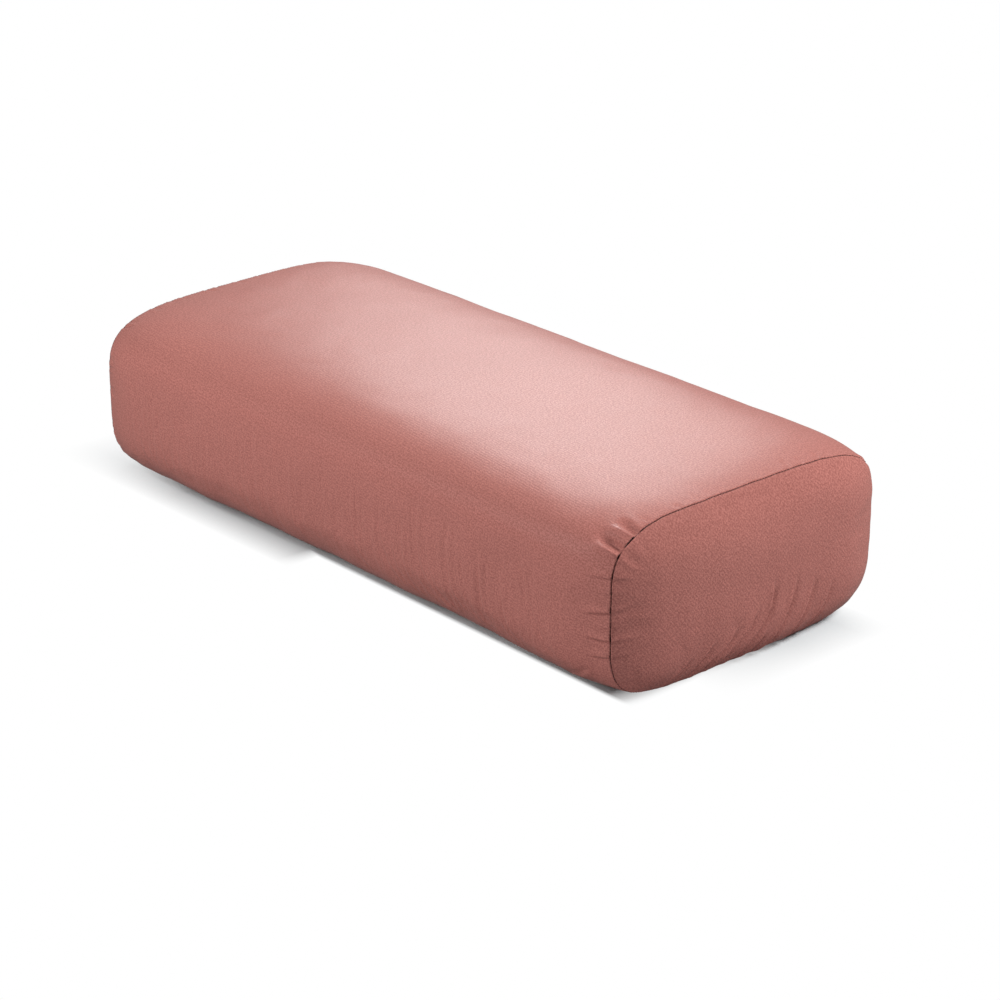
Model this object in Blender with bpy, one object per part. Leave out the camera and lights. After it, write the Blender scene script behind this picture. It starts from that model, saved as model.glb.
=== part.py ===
"""Rectangular yoga bolster: a sewn twill cover, closed by a zip along its back and carried by a strap at its far
end, over a lined insert that is filled with layers of wadding.

Metres, +Z up. X runs along the bolster, with the plain end at +X and the strapped end at -X. The zip is on the +Y
side, and z = 0 is the surface that the bolster lies on.
"""

import math

import bmesh
import bpy
from mathutils import Vector

# The filled cover
LENGTH = 0.660
WIDTH = 0.306
HEIGHT = 0.147
END_BULGE = 0.018
END_TAPER_RUN = 0.077
END_WIDTH_LOSS = 0.0217
END_HEIGHT_LOSS = 0.0046
BASE_FLAT_DEPTH = 0.0005
WIDEST_HEIGHT_SHARE = 0.55
TOP_SQUARENESS = 3.9
BASE_SQUARENESS = 4.9
TAPER_SHARPNESS = 3.0
BULGE_SHARPNESS = 2.6
OUTLINE_POINTS = 40
TAPER_STATION_SHARES = (0.38, 0.72)
END_RING_SHARES = (0.22, 0.46, 0.72)

# Cloth, seams and the gaps between pieces that touch
CLOTH = 0.0009
LINER_CLOTH = 0.0006
TOUCHING_GAP = 0.0003
SEAM_ALLOWANCE = 0.010
PANEL_EDGE_EASE = 0.0004
EDGE_ROLL = 0.004
EDGE_SHOULDER = 0.010

# The insert
HEM_STEP_RUN = 0.004
INSERT_RING_SHARES = (0.32, 0.72)
TURNING_SLIT_LENGTH = 0.160
TURNING_SLIT_WIDTH = 0.0012
WADDING_LAYERS = 5

# The zip chain
ZIP_END_MARGIN = 0.015
TAPE_WIDTH = 0.012
TAPE_THICKNESS = 0.0006
TAPE_TAIL = 0.006
TOOTH_PITCH = 0.0042
TOOTH_THICKNESS = 0.0024
TOOTH_CROSSING = 0.0017
TOOTH_NECK_WIDTH = 0.0009
TOOTH_HEAD_WIDTH = 0.0024
TOOTH_TIP_WIDTH = 0.0018
TOOTH_SHOULDER_RISE = 0.0004
TOOTH_ROOT_WIDTH = 0.0009
STOP_LENGTH = 0.0035
TOP_STOP_INSET = 0.0006
SLOT_MARGIN = 0.0006
SLOT_CORNER_SEGMENTS = 6

# The slider and its pull
SLIDER_LENGTH = 0.0115
SLIDER_PLATE = 0.0010
SLIDER_LIP = 0.0009
SLIDER_MOUTH_FLARE = 0.0010
SLIDER_SHOULDER_RUN = 0.0030
SLIDER_NOSE_CORNER = 0.0016
DIVIDER_WIDTH = 0.0024
DIVIDER_LENGTH = 0.0042
BAIL_LENGTH = 0.0052
BAIL_WIDTH = 0.0018
BAIL_BAR = 0.0009
BAIL_WINDOW_HEIGHT = 0.0017
PULL_THICKNESS = 0.0010
PULL_LENGTH = 0.0260
PULL_NECK_WIDTH = 0.0042
PULL_TAB_WIDTH = 0.0066
PULL_EYE_RAIL = 0.0010
PULL_TAIL_WINDOW_LENGTH = 0.0080
PULL_TAIL_RAIL = 0.0014
ROUND_END_SEGMENTS = 8
CUT_OVERRUN = 0.002

# The carrying strap on the far end
STRAP_WIDTH = 0.032
STRAP_THICKNESS = 0.0024
STRAP_TAB_MARGIN = 0.0015
FINGER_ROOM = 0.026
STRAP_ARCH_SEGMENTS = 14

# Places worked out from the sizes
FACE_X = LENGTH / 2 - END_BULGE
SEAM_X = FACE_X - TOUCHING_GAP
HEM_X = SEAM_X - SEAM_ALLOWANCE
STRAIGHT_HALF = SEAM_X - END_TAPER_RUN
TAPER_STATIONS = tuple(STRAIGHT_HALF + (HEM_X - STRAIGHT_HALF) * share for share in TAPER_STATION_SHARES)
STATIONS = (0.0, STRAIGHT_HALF, *TAPER_STATIONS, HEM_X, SEAM_X)
FOLD_DEPTH = 2 * CLOTH + TOUCHING_GAP
SKIRT_OUTER_DEPTH = FOLD_DEPTH + TOUCHING_GAP
SKIRT_INNER_DEPTH = SKIRT_OUTER_DEPTH + CLOTH
END_REACH = (WIDTH + HEIGHT) / 4

TOOTH_ROOT_FACE = TOOTH_CROSSING + TOUCHING_GAP
TOOTH_ROOT_BACK = TOOTH_ROOT_FACE + TOOTH_ROOT_WIDTH
TAPE_INNER = TOOTH_ROOT_BACK + TOUCHING_GAP
TAPE_OUTER = TAPE_INNER + TAPE_WIDTH
CHANNEL_HALF_HEIGHT = TOOTH_THICKNESS / 2 + TOUCHING_GAP
TAPE_SLOT_HALF_HEIGHT = TAPE_THICKNESS / 2 + TOUCHING_GAP
SLIDER_HALF_HEIGHT = CHANNEL_HALF_HEIGHT + SLIDER_PLATE
REAR_CHANNEL_HALF = TOOTH_ROOT_BACK + TOUCHING_GAP
MOUTH_CHANNEL_HALF = REAR_CHANNEL_HALF + SLIDER_MOUTH_FLARE
SLIDER_REAR_HALF = REAR_CHANNEL_HALF + SLIDER_LIP
SLIDER_MOUTH_HALF = MOUTH_CHANNEL_HALF + SLIDER_LIP
SLOT_HALF_WIDTH = SLIDER_MOUTH_HALF + SLOT_MARGIN

ZIP_HALF = STRAIGHT_HALF - ZIP_END_MARGIN
ZIP_Z = WIDEST_HEIGHT_SHARE * (HEIGHT + BASE_FLAT_DEPTH) - BASE_FLAT_DEPTH
TOP_STOP_X = ZIP_HALF - STOP_LENGTH
BOTTOM_STOP_X = STOP_LENGTH - ZIP_HALF
SLIDER_X = TOP_STOP_X - TOUCHING_GAP - SLIDER_LENGTH / 2
CHAIN_START_X = BOTTOM_STOP_X + TOUCHING_GAP
CHAIN_END_X = TOP_STOP_X - TOUCHING_GAP
TEETH_END_X = SLIDER_X + SLIDER_LENGTH / 2 - DIVIDER_LENGTH - TOUCHING_GAP

TWILL = ("dusty_rose_twill", (0.43, 0.17, 0.145, 1.0), 0.85, 0.0)
STRAP_TWILL = ("strap_twill", (0.40, 0.155, 0.13, 1.0), 0.85, 0.0)
TAPE_WEAVE = ("zip_tape_weave", (0.33, 0.125, 0.105, 1.0), 0.9, 0.0)
TOOTH_PLASTIC = ("zip_tooth_plastic", (0.36, 0.14, 0.12, 1.0), 0.35, 0.0)
SLIDER_METAL = ("zip_slider_metal", (0.62, 0.60, 0.58, 1.0), 0.3, 1.0)
LINER_COTTON = ("liner_cotton", (0.80, 0.77, 0.70, 1.0), 0.9, 0.0)
WADDING = ("cotton_wadding", (0.86, 0.83, 0.76, 1.0), 1.0, 0.0)


def material(finish):
    """The Principled material of a finish, made once."""
    name, colour, roughness, metallic = finish
    found = bpy.data.materials.get(name)
    if found:
        return found
    made = bpy.data.materials.new(name)
    made.use_nodes = True
    made.diffuse_color = colour
    shader = made.node_tree.nodes["Principled BSDF"]
    shader.inputs["Base Color"].default_value = colour
    shader.inputs["Roughness"].default_value = roughness
    shader.inputs["Metallic"].default_value = metallic
    return made


def add_object(name, shape, finish, place=Vector((0, 0, 0))):
    """An object at place from a bmesh in its own coordinates, with every face turned outwards."""
    bmesh.ops.recalc_face_normals(shape, faces=shape.faces)
    mesh = bpy.data.meshes.new(name)
    shape.to_mesh(mesh)
    shape.free()
    if finish:
        mesh.materials.append(material(finish))
    made = bpy.data.objects.new(name, mesh)
    made.location = place
    bpy.context.scene.collection.objects.link(made)
    return made


def as_cutter(shape, name, place=Vector((0, 0, 0))):
    """A helper object that only a Boolean sees."""
    made = add_object(name, shape, None, place)
    made.hide_render = True
    made.display_type = "WIRE"
    return made


def combine(target, helper, operation):
    """A Boolean of the target with a helper."""
    modifier = target.modifiers.new(helper.name, "BOOLEAN")
    modifier.operation = operation
    modifier.solver = "EXACT"
    modifier.object = helper


def smooth_soft_form(made):
    """Shades a soft form smooth, with its folded edges left sharp."""
    made.data.shade_smooth()
    made.data.set_sharp_from_angle(angle=math.radians(50))


def loft(rings, closed=False):
    """A skin over successive rings of points. A ring of one point is a pole, and a closed loft joins last to first.

    Each four-sided patch is split from its low-X corner, so that one skin inside another has facets parallel to it.
    """
    shape = bmesh.new()
    loops = [[shape.verts.new(point) for point in ring] for ring in rings]
    pairs = list(zip(loops, loops[1:]))
    if closed:
        pairs.append((loops[-1], loops[0]))
    for pair in pairs:
        low, high = sorted(pair, key=lambda loop: loop[0].co.x)
        for index in range(max(len(low), len(high))):
            here, after = low[index % len(low)], low[(index + 1) % len(low)]
            there, beyond = high[index % len(high)], high[(index + 1) % len(high)]
            if there is not beyond:
                shape.faces.new((here, there, beyond))
            if here is not after:
                shape.faces.new((here, beyond, after))
    return shape


def prism(outline, low, high, upright=False):
    """An outline of (x, other) points made solid: along Y from an XZ outline, or upright along Z from an XY one."""
    shape = bmesh.new()
    levels = []
    for level in (low, high):
        if upright:
            levels.append([shape.verts.new((x, other, level)) for x, other in outline])
        else:
            levels.append([shape.verts.new((x, level, other)) for x, other in outline])
    shape.faces.new(levels[0])
    shape.faces.new(reversed(levels[1]))
    for index in range(len(outline)):
        before = index - 1
        shape.faces.new((levels[0][before], levels[0][index], levels[1][index], levels[1][before]))
    return shape


def rectangle(low_x, high_x, low_other, high_other):
    """The four corners of a rectangle."""
    return [(low_x, low_other), (high_x, low_other), (high_x, high_other), (low_x, high_other)]


def arc(centre_x, centre_other, radius, start, end, segments):
    """Points on an arc, from start to end in radians."""
    angles = [start + (end - start) * step / segments for step in range(segments + 1)]
    return [(centre_x + radius * math.cos(angle), centre_other + radius * math.sin(angle)) for angle in angles]


def signed_power(value, power):
    """A power that keeps the sign, for a superellipse."""
    return math.copysign(abs(value) ** power, value)


def station_outline(x):
    """The cover's outline across the bolster at a station, from the back up over the top, as (y, z) points."""
    past_straight = max(0.0, abs(x) - STRAIGHT_HALF) / END_TAPER_RUN
    taper = min(1.0, past_straight) ** TAPER_SHARPNESS
    half_width = (WIDTH - END_WIDTH_LOSS * taper) / 2
    height = HEIGHT - END_HEIGHT_LOSS * taper + BASE_FLAT_DEPTH
    widest = WIDEST_HEIGHT_SHARE * height
    points = []
    for index in range(OUTLINE_POINTS):
        angle = math.tau * (index + 0.5) / OUTLINE_POINTS
        above = math.sin(angle) > 0
        rise = height - widest if above else widest
        power = 2 / (TOP_SQUARENESS if above else BASE_SQUARENESS)
        y = half_width * signed_power(math.cos(angle), power)
        z = widest + rise * signed_power(math.sin(angle), power) - BASE_FLAT_DEPTH
        points.append(Vector((y, max(z, 0.0))))
    return points


def outline(x):
    """The outline at any x, straight between the stations, so that every layer runs parallel to the cover."""
    reach = min(abs(x), SEAM_X)
    for near, far in zip(STATIONS, STATIONS[1:]):
        if reach <= far:
            share = (reach - near) / (far - near)
            return [a.lerp(b, share) for a, b in zip(station_outline(near), station_outline(far))]
    return station_outline(SEAM_X)


def inset(points, depth):
    """An outline moved inwards by depth, each side parallel to itself."""
    moved = []
    for index, here in enumerate(points):
        arriving = (here - points[index - 1]).normalized()
        leaving = (points[(index + 1) % len(points)] - here).normalized()
        inward = Vector((-arriving.y, arriving.x))
        middle = (inward + Vector((-leaving.y, leaving.x))).normalized()
        moved.append(here + middle * (depth / middle.dot(inward)))
    return moved


def ring(x, depth, at=None, back_limit=None):
    """The outline of x, moved in by depth and placed at that x or another, its back held within back_limit."""
    place = x if at is None else at
    points = inset(outline(x), depth)
    if back_limit is not None:
        points = [Vector((min(point.x, back_limit), point.y)) for point in points]
    return [Vector((place, *point)) for point in points]


def bulge_at(depth):
    """How far an end stands out where its outline has drawn in by depth."""
    return END_BULGE * (1 - max(0.0, 1 - depth / END_REACH) ** BULGE_SHARPNESS)


def end_rings(inward, shares=END_RING_SHARES):
    """The bulged end from its pole to its shoulder, inward of the cover's outer face by that much along X."""
    shoulder = ring(SEAM_X, EDGE_SHOULDER)
    middle = sum(shoulder, Vector((0, 0, 0))) / len(shoulder)
    rings = []
    for share in (*shares, 1):
        radius_share = share * (1 - EDGE_SHOULDER / END_REACH)
        x = FACE_X + END_BULGE * (1 - radius_share**BULGE_SHARPNESS) - inward
        flat = [middle.lerp(point, share) for point in shoulder]
        rings.append([Vector((x, point.y, point.z)) for point in flat])
    pole = Vector((FACE_X + END_BULGE - inward, middle.y, middle.z))
    return [[pole], *rings]


def mirrored(rings):
    """The same rings at the opposite end."""
    return [[Vector((-point.x, point.y, point.z)) for point in points] for points in rings]


def zip_face_y():
    """Where the flat of the cover's back lies."""
    first, last = outline(0)[0], outline(0)[-1]
    return min(first.x, last.x)


CHAIN_Y = zip_face_y() - CLOTH - TOUCHING_GAP - TAPE_THICKNESS / 2
LINER_BACK_Y = CHAIN_Y - SLIDER_HALF_HEIGHT - TOUCHING_GAP
HINGE_Y = CHAIN_Y + SLIDER_HALF_HEIGHT + BAIL_WINDOW_HEIGHT / 2


def cover_body_panel():
    """The wrap panel: a tube of cloth with its ends folded in, open along the back for the zip."""
    walls = [x for x in STATIONS if 0 < x < SEAM_X]
    along = [*(-x for x in reversed(walls)), *walls]
    rings = [ring(-SEAM_X, 0), *(ring(x, 0) for x in along), ring(SEAM_X, 0)]
    hem = [
        ring(SEAM_X, FOLD_DEPTH),
        ring(HEM_X, FOLD_DEPTH),
        ring(HEM_X, CLOTH + TOUCHING_GAP),
        ring(SEAM_X, CLOTH + TOUCHING_GAP, at=SEAM_X - CLOTH),
        ring(SEAM_X, CLOTH, at=SEAM_X - CLOTH),
    ]
    rings += hem
    rings += [ring(x, CLOTH) for x in reversed(along)]
    rings += list(reversed(mirrored(hem)))
    panel = add_object("cover_body_panel", loft(rings, closed=True), TWILL)
    past_stop_corner = math.sqrt(SLOT_HALF_WIDTH**2 - TOOTH_ROOT_BACK**2)
    run = ZIP_HALF + SLOT_MARGIN - past_stop_corner
    quarter = math.pi / 2
    slot = arc(run, ZIP_Z, SLOT_HALF_WIDTH, -quarter, quarter, SLOT_CORNER_SEGMENTS)
    slot += arc(-run, ZIP_Z, SLOT_HALF_WIDTH, quarter, 3 * quarter, SLOT_CORNER_SEGMENTS)
    face = zip_face_y()
    combine(panel, as_cutter(prism(slot, face - CUT_OVERRUN, face + CUT_OVERRUN), "zip_slot_cut"), "DIFFERENCE")
    smooth_soft_form(panel)


def cover_end(name, far):
    """A bulged end panel, whose edge turns in as a skirt inside the body panel's hem."""
    outer = [
        *end_rings(0),
        ring(SEAM_X, EDGE_ROLL, at=FACE_X + bulge_at(EDGE_ROLL)),
        ring(SEAM_X, PANEL_EDGE_EASE, at=FACE_X),
        ring(SEAM_X, SKIRT_OUTER_DEPTH, at=FACE_X),
        ring(HEM_X, SKIRT_OUTER_DEPTH),
    ]
    inner = [
        ring(HEM_X, SKIRT_INNER_DEPTH),
        ring(SEAM_X, SKIRT_INNER_DEPTH, at=FACE_X + bulge_at(SKIRT_INNER_DEPTH) - CLOTH),
        *reversed(end_rings(CLOTH)),
    ]
    rings = outer + inner
    smooth_soft_form(add_object(name, loft(mirrored(rings) if far else rings), TWILL))


def insert_rings(depth):
    """The insert's closed form, this deep inside its own outer face, from the far pole to the near one."""
    under_cover = CLOTH + TOUCHING_GAP + depth
    under_hem = SKIRT_INNER_DEPTH + TOUCHING_GAP + depth
    back = LINER_BACK_Y - depth
    step_x = HEM_X - TOUCHING_GAP - depth
    near = [
        ring(STRAIGHT_HALF, under_cover, back_limit=back),
        ring(TAPER_STATIONS[-1], under_cover, back_limit=back),
        ring(step_x - HEM_STEP_RUN, under_cover, back_limit=back),
        ring(step_x, under_hem, back_limit=back),
        *reversed(end_rings(under_cover, INSERT_RING_SHARES)),
    ]
    return [*reversed(mirrored(near)), *near]


def insert_liner():
    """The insert's own bag, with the slit that it is turned and filled through."""
    liner = add_object("insert_liner", loft(insert_rings(0)), LINER_COTTON)
    combine(liner, as_cutter(loft(insert_rings(LINER_CLOTH)), "liner_hollow_cut"), "DIFFERENCE")
    half_length = TURNING_SLIT_LENGTH / 2
    half_width = TURNING_SLIT_WIDTH / 2
    slit = rectangle(-half_length, half_length, ZIP_Z - half_width, ZIP_Z + half_width)
    cutter = prism(slit, LINER_BACK_Y - CUT_OVERRUN, LINER_BACK_Y + CUT_OVERRUN)
    combine(liner, as_cutter(cutter, "turning_slit_cut"), "DIFFERENCE")
    smooth_soft_form(liner)


def wadding_layers():
    """The filling: flat layers of wadding, each trimmed to the insert's form."""
    depth = LINER_CLOTH + TOUCHING_GAP
    rings = insert_rings(depth)
    low = min(point.z for points in rings for point in points)
    high = max(point.z for points in rings for point in points)
    gaps = TOUCHING_GAP * (WADDING_LAYERS - 1)
    thickness = (high - low - gaps) / WADDING_LAYERS
    for number in range(1, WADDING_LAYERS + 1):
        floor = low + (number - 1) * (thickness + TOUCHING_GAP)
        layer = add_object(f"wadding_layer_{number}", loft(rings), WADDING)
        bottom = floor - CUT_OVERRUN if number == 1 else floor
        top = floor + thickness + (CUT_OVERRUN if number == WADDING_LAYERS else 0)
        slab = prism(rectangle(-LENGTH, LENGTH, -WIDTH, WIDTH), bottom, top, upright=True)
        combine(layer, as_cutter(slab, f"wadding_slab_{number}"), "INTERSECT")
        smooth_soft_form(layer)


def zip_tape(name, side):
    """One half of the zip's woven tape, behind the edge of the slot."""
    tail = ZIP_HALF + TAPE_TAIL
    edges = sorted((side * TAPE_INNER, side * TAPE_OUTER))
    strip = rectangle(-tail, tail, *edges)
    tape = add_object(name, prism(strip, -TAPE_THICKNESS / 2, TAPE_THICKNESS / 2), TAPE_WEAVE)
    tape.location = (0, CHAIN_Y, ZIP_Z)


def tooth_profile():
    """One tooth, from root to root past its head, as (x, distance from its own root's side of the centre line)."""
    neck, head, tip = TOOTH_NECK_WIDTH / 2, TOOTH_HEAD_WIDTH / 2, TOOTH_TIP_WIDTH / 2
    half = [
        (neck, TOOTH_ROOT_FACE),
        (neck, TOOTH_SHOULDER_RISE),
        (head, -TOOTH_SHOULDER_RISE),
        (tip, -TOOTH_CROSSING),
    ]
    return [*((-x, height) for x, height in half), *reversed(half)]


def zip_teeth(name, side, offset):
    """One row of headed teeth on its root strip. The other row's teeth mesh with it half a pitch along."""
    count = int((TEETH_END_X - CHAIN_START_X - TOOTH_PITCH) / TOOTH_PITCH)
    shape = bmesh.new()
    levels = []
    for level in (-TOOTH_THICKNESS / 2, TOOTH_THICKNESS / 2):
        fronts = []
        backs = [shape.verts.new((CHAIN_START_X, level, side * TOOTH_ROOT_BACK))]
        for number in range(count):
            centre = CHAIN_START_X + TOOTH_PITCH * (number + 0.5) + offset
            fronts.append([shape.verts.new((centre + x, level, side * height)) for x, height in tooth_profile()])
            if number:
                left = centre - TOOTH_NECK_WIDTH / 2
                backs.append(shape.verts.new((left, level, side * TOOTH_ROOT_BACK)))
        backs.append(shape.verts.new((CHAIN_END_X, level, side * TOOTH_ROOT_BACK)))
        start = shape.verts.new((CHAIN_START_X, level, side * TOOTH_ROOT_FACE))
        end = shape.verts.new((CHAIN_END_X, level, side * TOOTH_ROOT_FACE))
        edge = [start]
        for number, front in enumerate(fronts):
            following = [fronts[number + 1][0]] if number + 1 < count else [end]
            before = [start] if number == 0 else []
            shape.faces.new([*before, *front, *following, backs[number + 1], backs[number]])
            edge += front
        edge.append(end)
        levels.append([*edge, *reversed(backs)])
    for index in range(len(levels[0])):
        before = index - 1
        shape.faces.new((levels[0][before], levels[0][index], levels[1][index], levels[1][before]))
    row = add_object(name, shape, TOOTH_PLASTIC)
    row.location = (0, CHAIN_Y, ZIP_Z)


def zip_stop(name, low_x, low_z, high_z):
    """A stop at an end of the chain, as thick as the teeth."""
    block = rectangle(low_x, low_x + STOP_LENGTH, low_z, high_z)
    stop = add_object(name, prism(block, -TOOTH_THICKNESS / 2, TOOTH_THICKNESS / 2), TOOTH_PLASTIC)
    stop.location = (0, CHAIN_Y, ZIP_Z)


def slider_outline():
    """The slider's plates: narrow over the closed chain, wide at the mouth, with its front corners eased."""
    front, rear = SLIDER_LENGTH / 2, -SLIDER_LENGTH / 2
    half = [
        (rear, SLIDER_REAR_HALF),
        (rear + SLIDER_SHOULDER_RUN, SLIDER_REAR_HALF),
        (front - SLIDER_SHOULDER_RUN, SLIDER_MOUTH_HALF),
        (front - SLIDER_NOSE_CORNER, SLIDER_MOUTH_HALF),
        (front, SLIDER_MOUTH_HALF - SLIDER_NOSE_CORNER),
    ]
    return [*half, *((x, -z) for x, z in reversed(half))]


def channel_outline():
    """The forked way of the teeth through the slider, round the divider at its front."""
    front = SLIDER_LENGTH / 2 + CUT_OVERRUN
    rear = -front
    divider_tip = SLIDER_LENGTH / 2 - DIVIDER_LENGTH
    half = [
        (rear, REAR_CHANNEL_HALF),
        (rear + CUT_OVERRUN + SLIDER_SHOULDER_RUN, REAR_CHANNEL_HALF),
        (SLIDER_LENGTH / 2 - SLIDER_SHOULDER_RUN, MOUTH_CHANNEL_HALF),
        (front, MOUTH_CHANNEL_HALF),
        (front, DIVIDER_WIDTH / 2),
        (divider_tip + DIVIDER_WIDTH / 2, DIVIDER_WIDTH / 2),
    ]
    return [*half, (divider_tip, 0), *((x, -z) for x, z in reversed(half))]


def zip_slider():
    """The slider: two plates joined at the divider, lips round the chain, and the bail that holds the pull."""
    place = Vector((SLIDER_X, CHAIN_Y, ZIP_Z))
    slider = add_object("zip_slider", prism(slider_outline(), -SLIDER_HALF_HEIGHT, SLIDER_HALF_HEIGHT), SLIDER_METAL)
    slider.location = place
    channel = prism(channel_outline(), -CHANNEL_HALF_HEIGHT, CHANNEL_HALF_HEIGHT)
    combine(slider, as_cutter(channel, "slider_channel_cut", place), "DIFFERENCE")
    reach = SLIDER_LENGTH / 2 + CUT_OVERRUN
    for label, side in (("upper", 1), ("lower", -1)):
        edges = sorted((side * (DIVIDER_WIDTH / 2 + TOUCHING_GAP), side * (SLIDER_MOUTH_HALF + CUT_OVERRUN)))
        way = prism(rectangle(-reach, reach, *edges), -TAPE_SLOT_HALF_HEIGHT, TAPE_SLOT_HALF_HEIGHT)
        combine(slider, as_cutter(way, f"tape_way_cut_{label}", place), "DIFFERENCE")
    top = SLIDER_HALF_HEIGHT + BAIL_WINDOW_HEIGHT
    window = BAIL_LENGTH / 2 - BAIL_BAR
    arch = [
        (-BAIL_LENGTH / 2, SLIDER_HALF_HEIGHT - SLIDER_PLATE / 2),
        (-BAIL_LENGTH / 2, top),
        (-window, top + BAIL_BAR),
        (window, top + BAIL_BAR),
        (BAIL_LENGTH / 2, top),
        (BAIL_LENGTH / 2, SLIDER_HALF_HEIGHT - SLIDER_PLATE / 2),
        (window, SLIDER_HALF_HEIGHT - SLIDER_PLATE / 2),
        (window, top),
        (-window, top),
        (-window, SLIDER_HALF_HEIGHT - SLIDER_PLATE / 2),
    ]
    bail = prism(arch, -BAIL_WIDTH / 2, BAIL_WIDTH / 2, upright=True)
    combine(slider, as_cutter(bail, "slider_bail", place), "UNION")
    return slider


def zip_pull(slider):
    """The pull tab, whose end bar turns under the bail. It lies back along the chain."""
    bar = PULL_THICKNESS / 2
    eye_far = -math.hypot(BAIL_LENGTH / 2, BAIL_WINDOW_HEIGHT / 2 + BAIL_BAR) - TOUCHING_GAP
    neck, tab = PULL_NECK_WIDTH / 2, PULL_TAB_WIDTH / 2
    tail = -PULL_LENGTH + tab
    half_turn = math.pi / 2
    shape = [
        (bar, -neck),
        (bar, neck),
        (eye_far, neck),
        (eye_far - tab, tab),
        *arc(tail, 0, tab, half_turn, 3 * half_turn, ROUND_END_SEGMENTS),
        (eye_far - tab, -tab),
        (eye_far, -neck),
    ]
    place = Vector((SLIDER_X, HINGE_Y, ZIP_Z))
    pull = add_object("zip_pull", prism(shape, -PULL_THICKNESS / 2, PULL_THICKNESS / 2), SLIDER_METAL)
    eye = rectangle(eye_far, -bar, -neck + PULL_EYE_RAIL, neck - PULL_EYE_RAIL)
    combine(pull, as_cutter(prism(eye, -CUT_OVERRUN, CUT_OVERRUN), "pull_eye_cut", place), "DIFFERENCE")
    radius = tab - PULL_TAIL_RAIL
    window = arc(tail, 0, radius, half_turn, 3 * half_turn, ROUND_END_SEGMENTS)
    window += [(tail + PULL_TAIL_WINDOW_LENGTH, -radius), (tail + PULL_TAIL_WINDOW_LENGTH, radius)]
    combine(pull, as_cutter(prism(window, -CUT_OVERRUN, CUT_OVERRUN), "pull_window_cut", place), "DIFFERENCE")
    pull.parent = slider
    pull.location = place - slider.location


def carry_strap():
    """The strap: sewn flat on the far end panel at both ends, and bowed off it between for the hand."""
    sections = [(points[0].y, -points[0].x) for points in end_rings(0)]
    tab_inner = sections[2][0] + STRAP_TAB_MARGIN
    tab_outer = sections[3][0] - STRAP_TAB_MARGIN

    def face_x(y):
        """Where the end panel's face lies at the strap's height."""
        for (near_y, near_x), (far_y, far_x) in zip(sections, sections[1:]):
            if abs(y) <= far_y:
                return near_x + (far_x - near_x) * (abs(y) - near_y) / (far_y - near_y)
        return sections[-1][1]

    inner = [Vector((face_x(tab_outer) - TOUCHING_GAP, -tab_outer))]
    for step in range(STRAP_ARCH_SEGMENTS + 1):
        y = tab_inner * (2 * step / STRAP_ARCH_SEGMENTS - 1)
        bow = FINGER_ROOM * (1 - (y / tab_inner) ** 2)
        inner.append(Vector((face_x(y) - TOUCHING_GAP - bow, y)))
    inner.append(Vector((face_x(tab_outer) - TOUCHING_GAP, tab_outer)))
    outer = []
    for index, here in enumerate(inner):
        before = inner[max(index - 1, 0)]
        after = inner[min(index + 1, len(inner) - 1)]
        along = (after - before).normalized()
        outer.append(here + Vector((-along.y, along.x)) * STRAP_THICKNESS)
    middle_z = end_rings(0)[0][0].z
    shape = prism(inner + outer[::-1], middle_z - STRAP_WIDTH / 2, middle_z + STRAP_WIDTH / 2, upright=True)
    add_object("carry_strap", shape, STRAP_TWILL)


def build():
    """Every piece of the bolster."""
    cover_body_panel()
    cover_end("cover_end_near", far=False)
    cover_end("cover_end_far", far=True)
    carry_strap()
    insert_liner()
    wadding_layers()
    zip_tape("zip_tape_upper", 1)
    zip_tape("zip_tape_lower", -1)
    zip_teeth("zip_teeth_upper", 1, 0)
    zip_teeth("zip_teeth_lower", -1, TOOTH_PITCH / 2)
    zip_stop("zip_top_stop_upper", TOP_STOP_X, TOP_STOP_INSET, TOOTH_ROOT_BACK)
    zip_stop("zip_top_stop_lower", TOP_STOP_X, -TOOTH_ROOT_BACK, -TOP_STOP_INSET)
    zip_stop("zip_bottom_stop", -ZIP_HALF, -TOOTH_ROOT_BACK, TOOTH_ROOT_BACK)
    zip_pull(zip_slider())


for leftover in list(bpy.data.objects):
    bpy.data.objects.remove(leftover, do_unlink=True)
build()
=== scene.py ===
"""Looks of the rectangular yoga bolster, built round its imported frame.

Metres, +Z up, in the frame's own axes: X runs along the bolster, with the plain end at +X and the strapped end at
-X. The zip is on the +Y side, and the floor is at z = 0.
"""

from __future__ import annotations

import logging
import math
from dataclasses import dataclass, field, replace
from enum import Enum
from typing import Any, Sequence

import bmesh
import bpy
import numpy as np
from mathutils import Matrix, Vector, kdtree


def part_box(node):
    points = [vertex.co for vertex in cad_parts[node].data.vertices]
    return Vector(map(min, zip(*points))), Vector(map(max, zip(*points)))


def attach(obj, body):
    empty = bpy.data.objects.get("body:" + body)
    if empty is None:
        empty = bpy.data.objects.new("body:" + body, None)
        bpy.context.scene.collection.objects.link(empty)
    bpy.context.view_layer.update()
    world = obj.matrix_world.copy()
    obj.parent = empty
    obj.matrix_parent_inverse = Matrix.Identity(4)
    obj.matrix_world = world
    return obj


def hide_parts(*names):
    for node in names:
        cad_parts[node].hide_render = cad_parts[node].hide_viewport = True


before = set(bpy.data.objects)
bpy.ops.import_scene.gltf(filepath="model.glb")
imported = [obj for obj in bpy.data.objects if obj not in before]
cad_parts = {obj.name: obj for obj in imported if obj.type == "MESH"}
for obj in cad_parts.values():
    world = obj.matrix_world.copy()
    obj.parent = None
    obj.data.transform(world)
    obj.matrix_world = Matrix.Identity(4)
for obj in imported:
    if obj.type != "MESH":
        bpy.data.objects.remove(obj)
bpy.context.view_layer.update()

Colour = tuple[float, float, float]
Place = tuple[float, float, float]
Span = tuple[float, float]
Array = np.ndarray
LOG = logging.getLogger("bolster")


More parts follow.
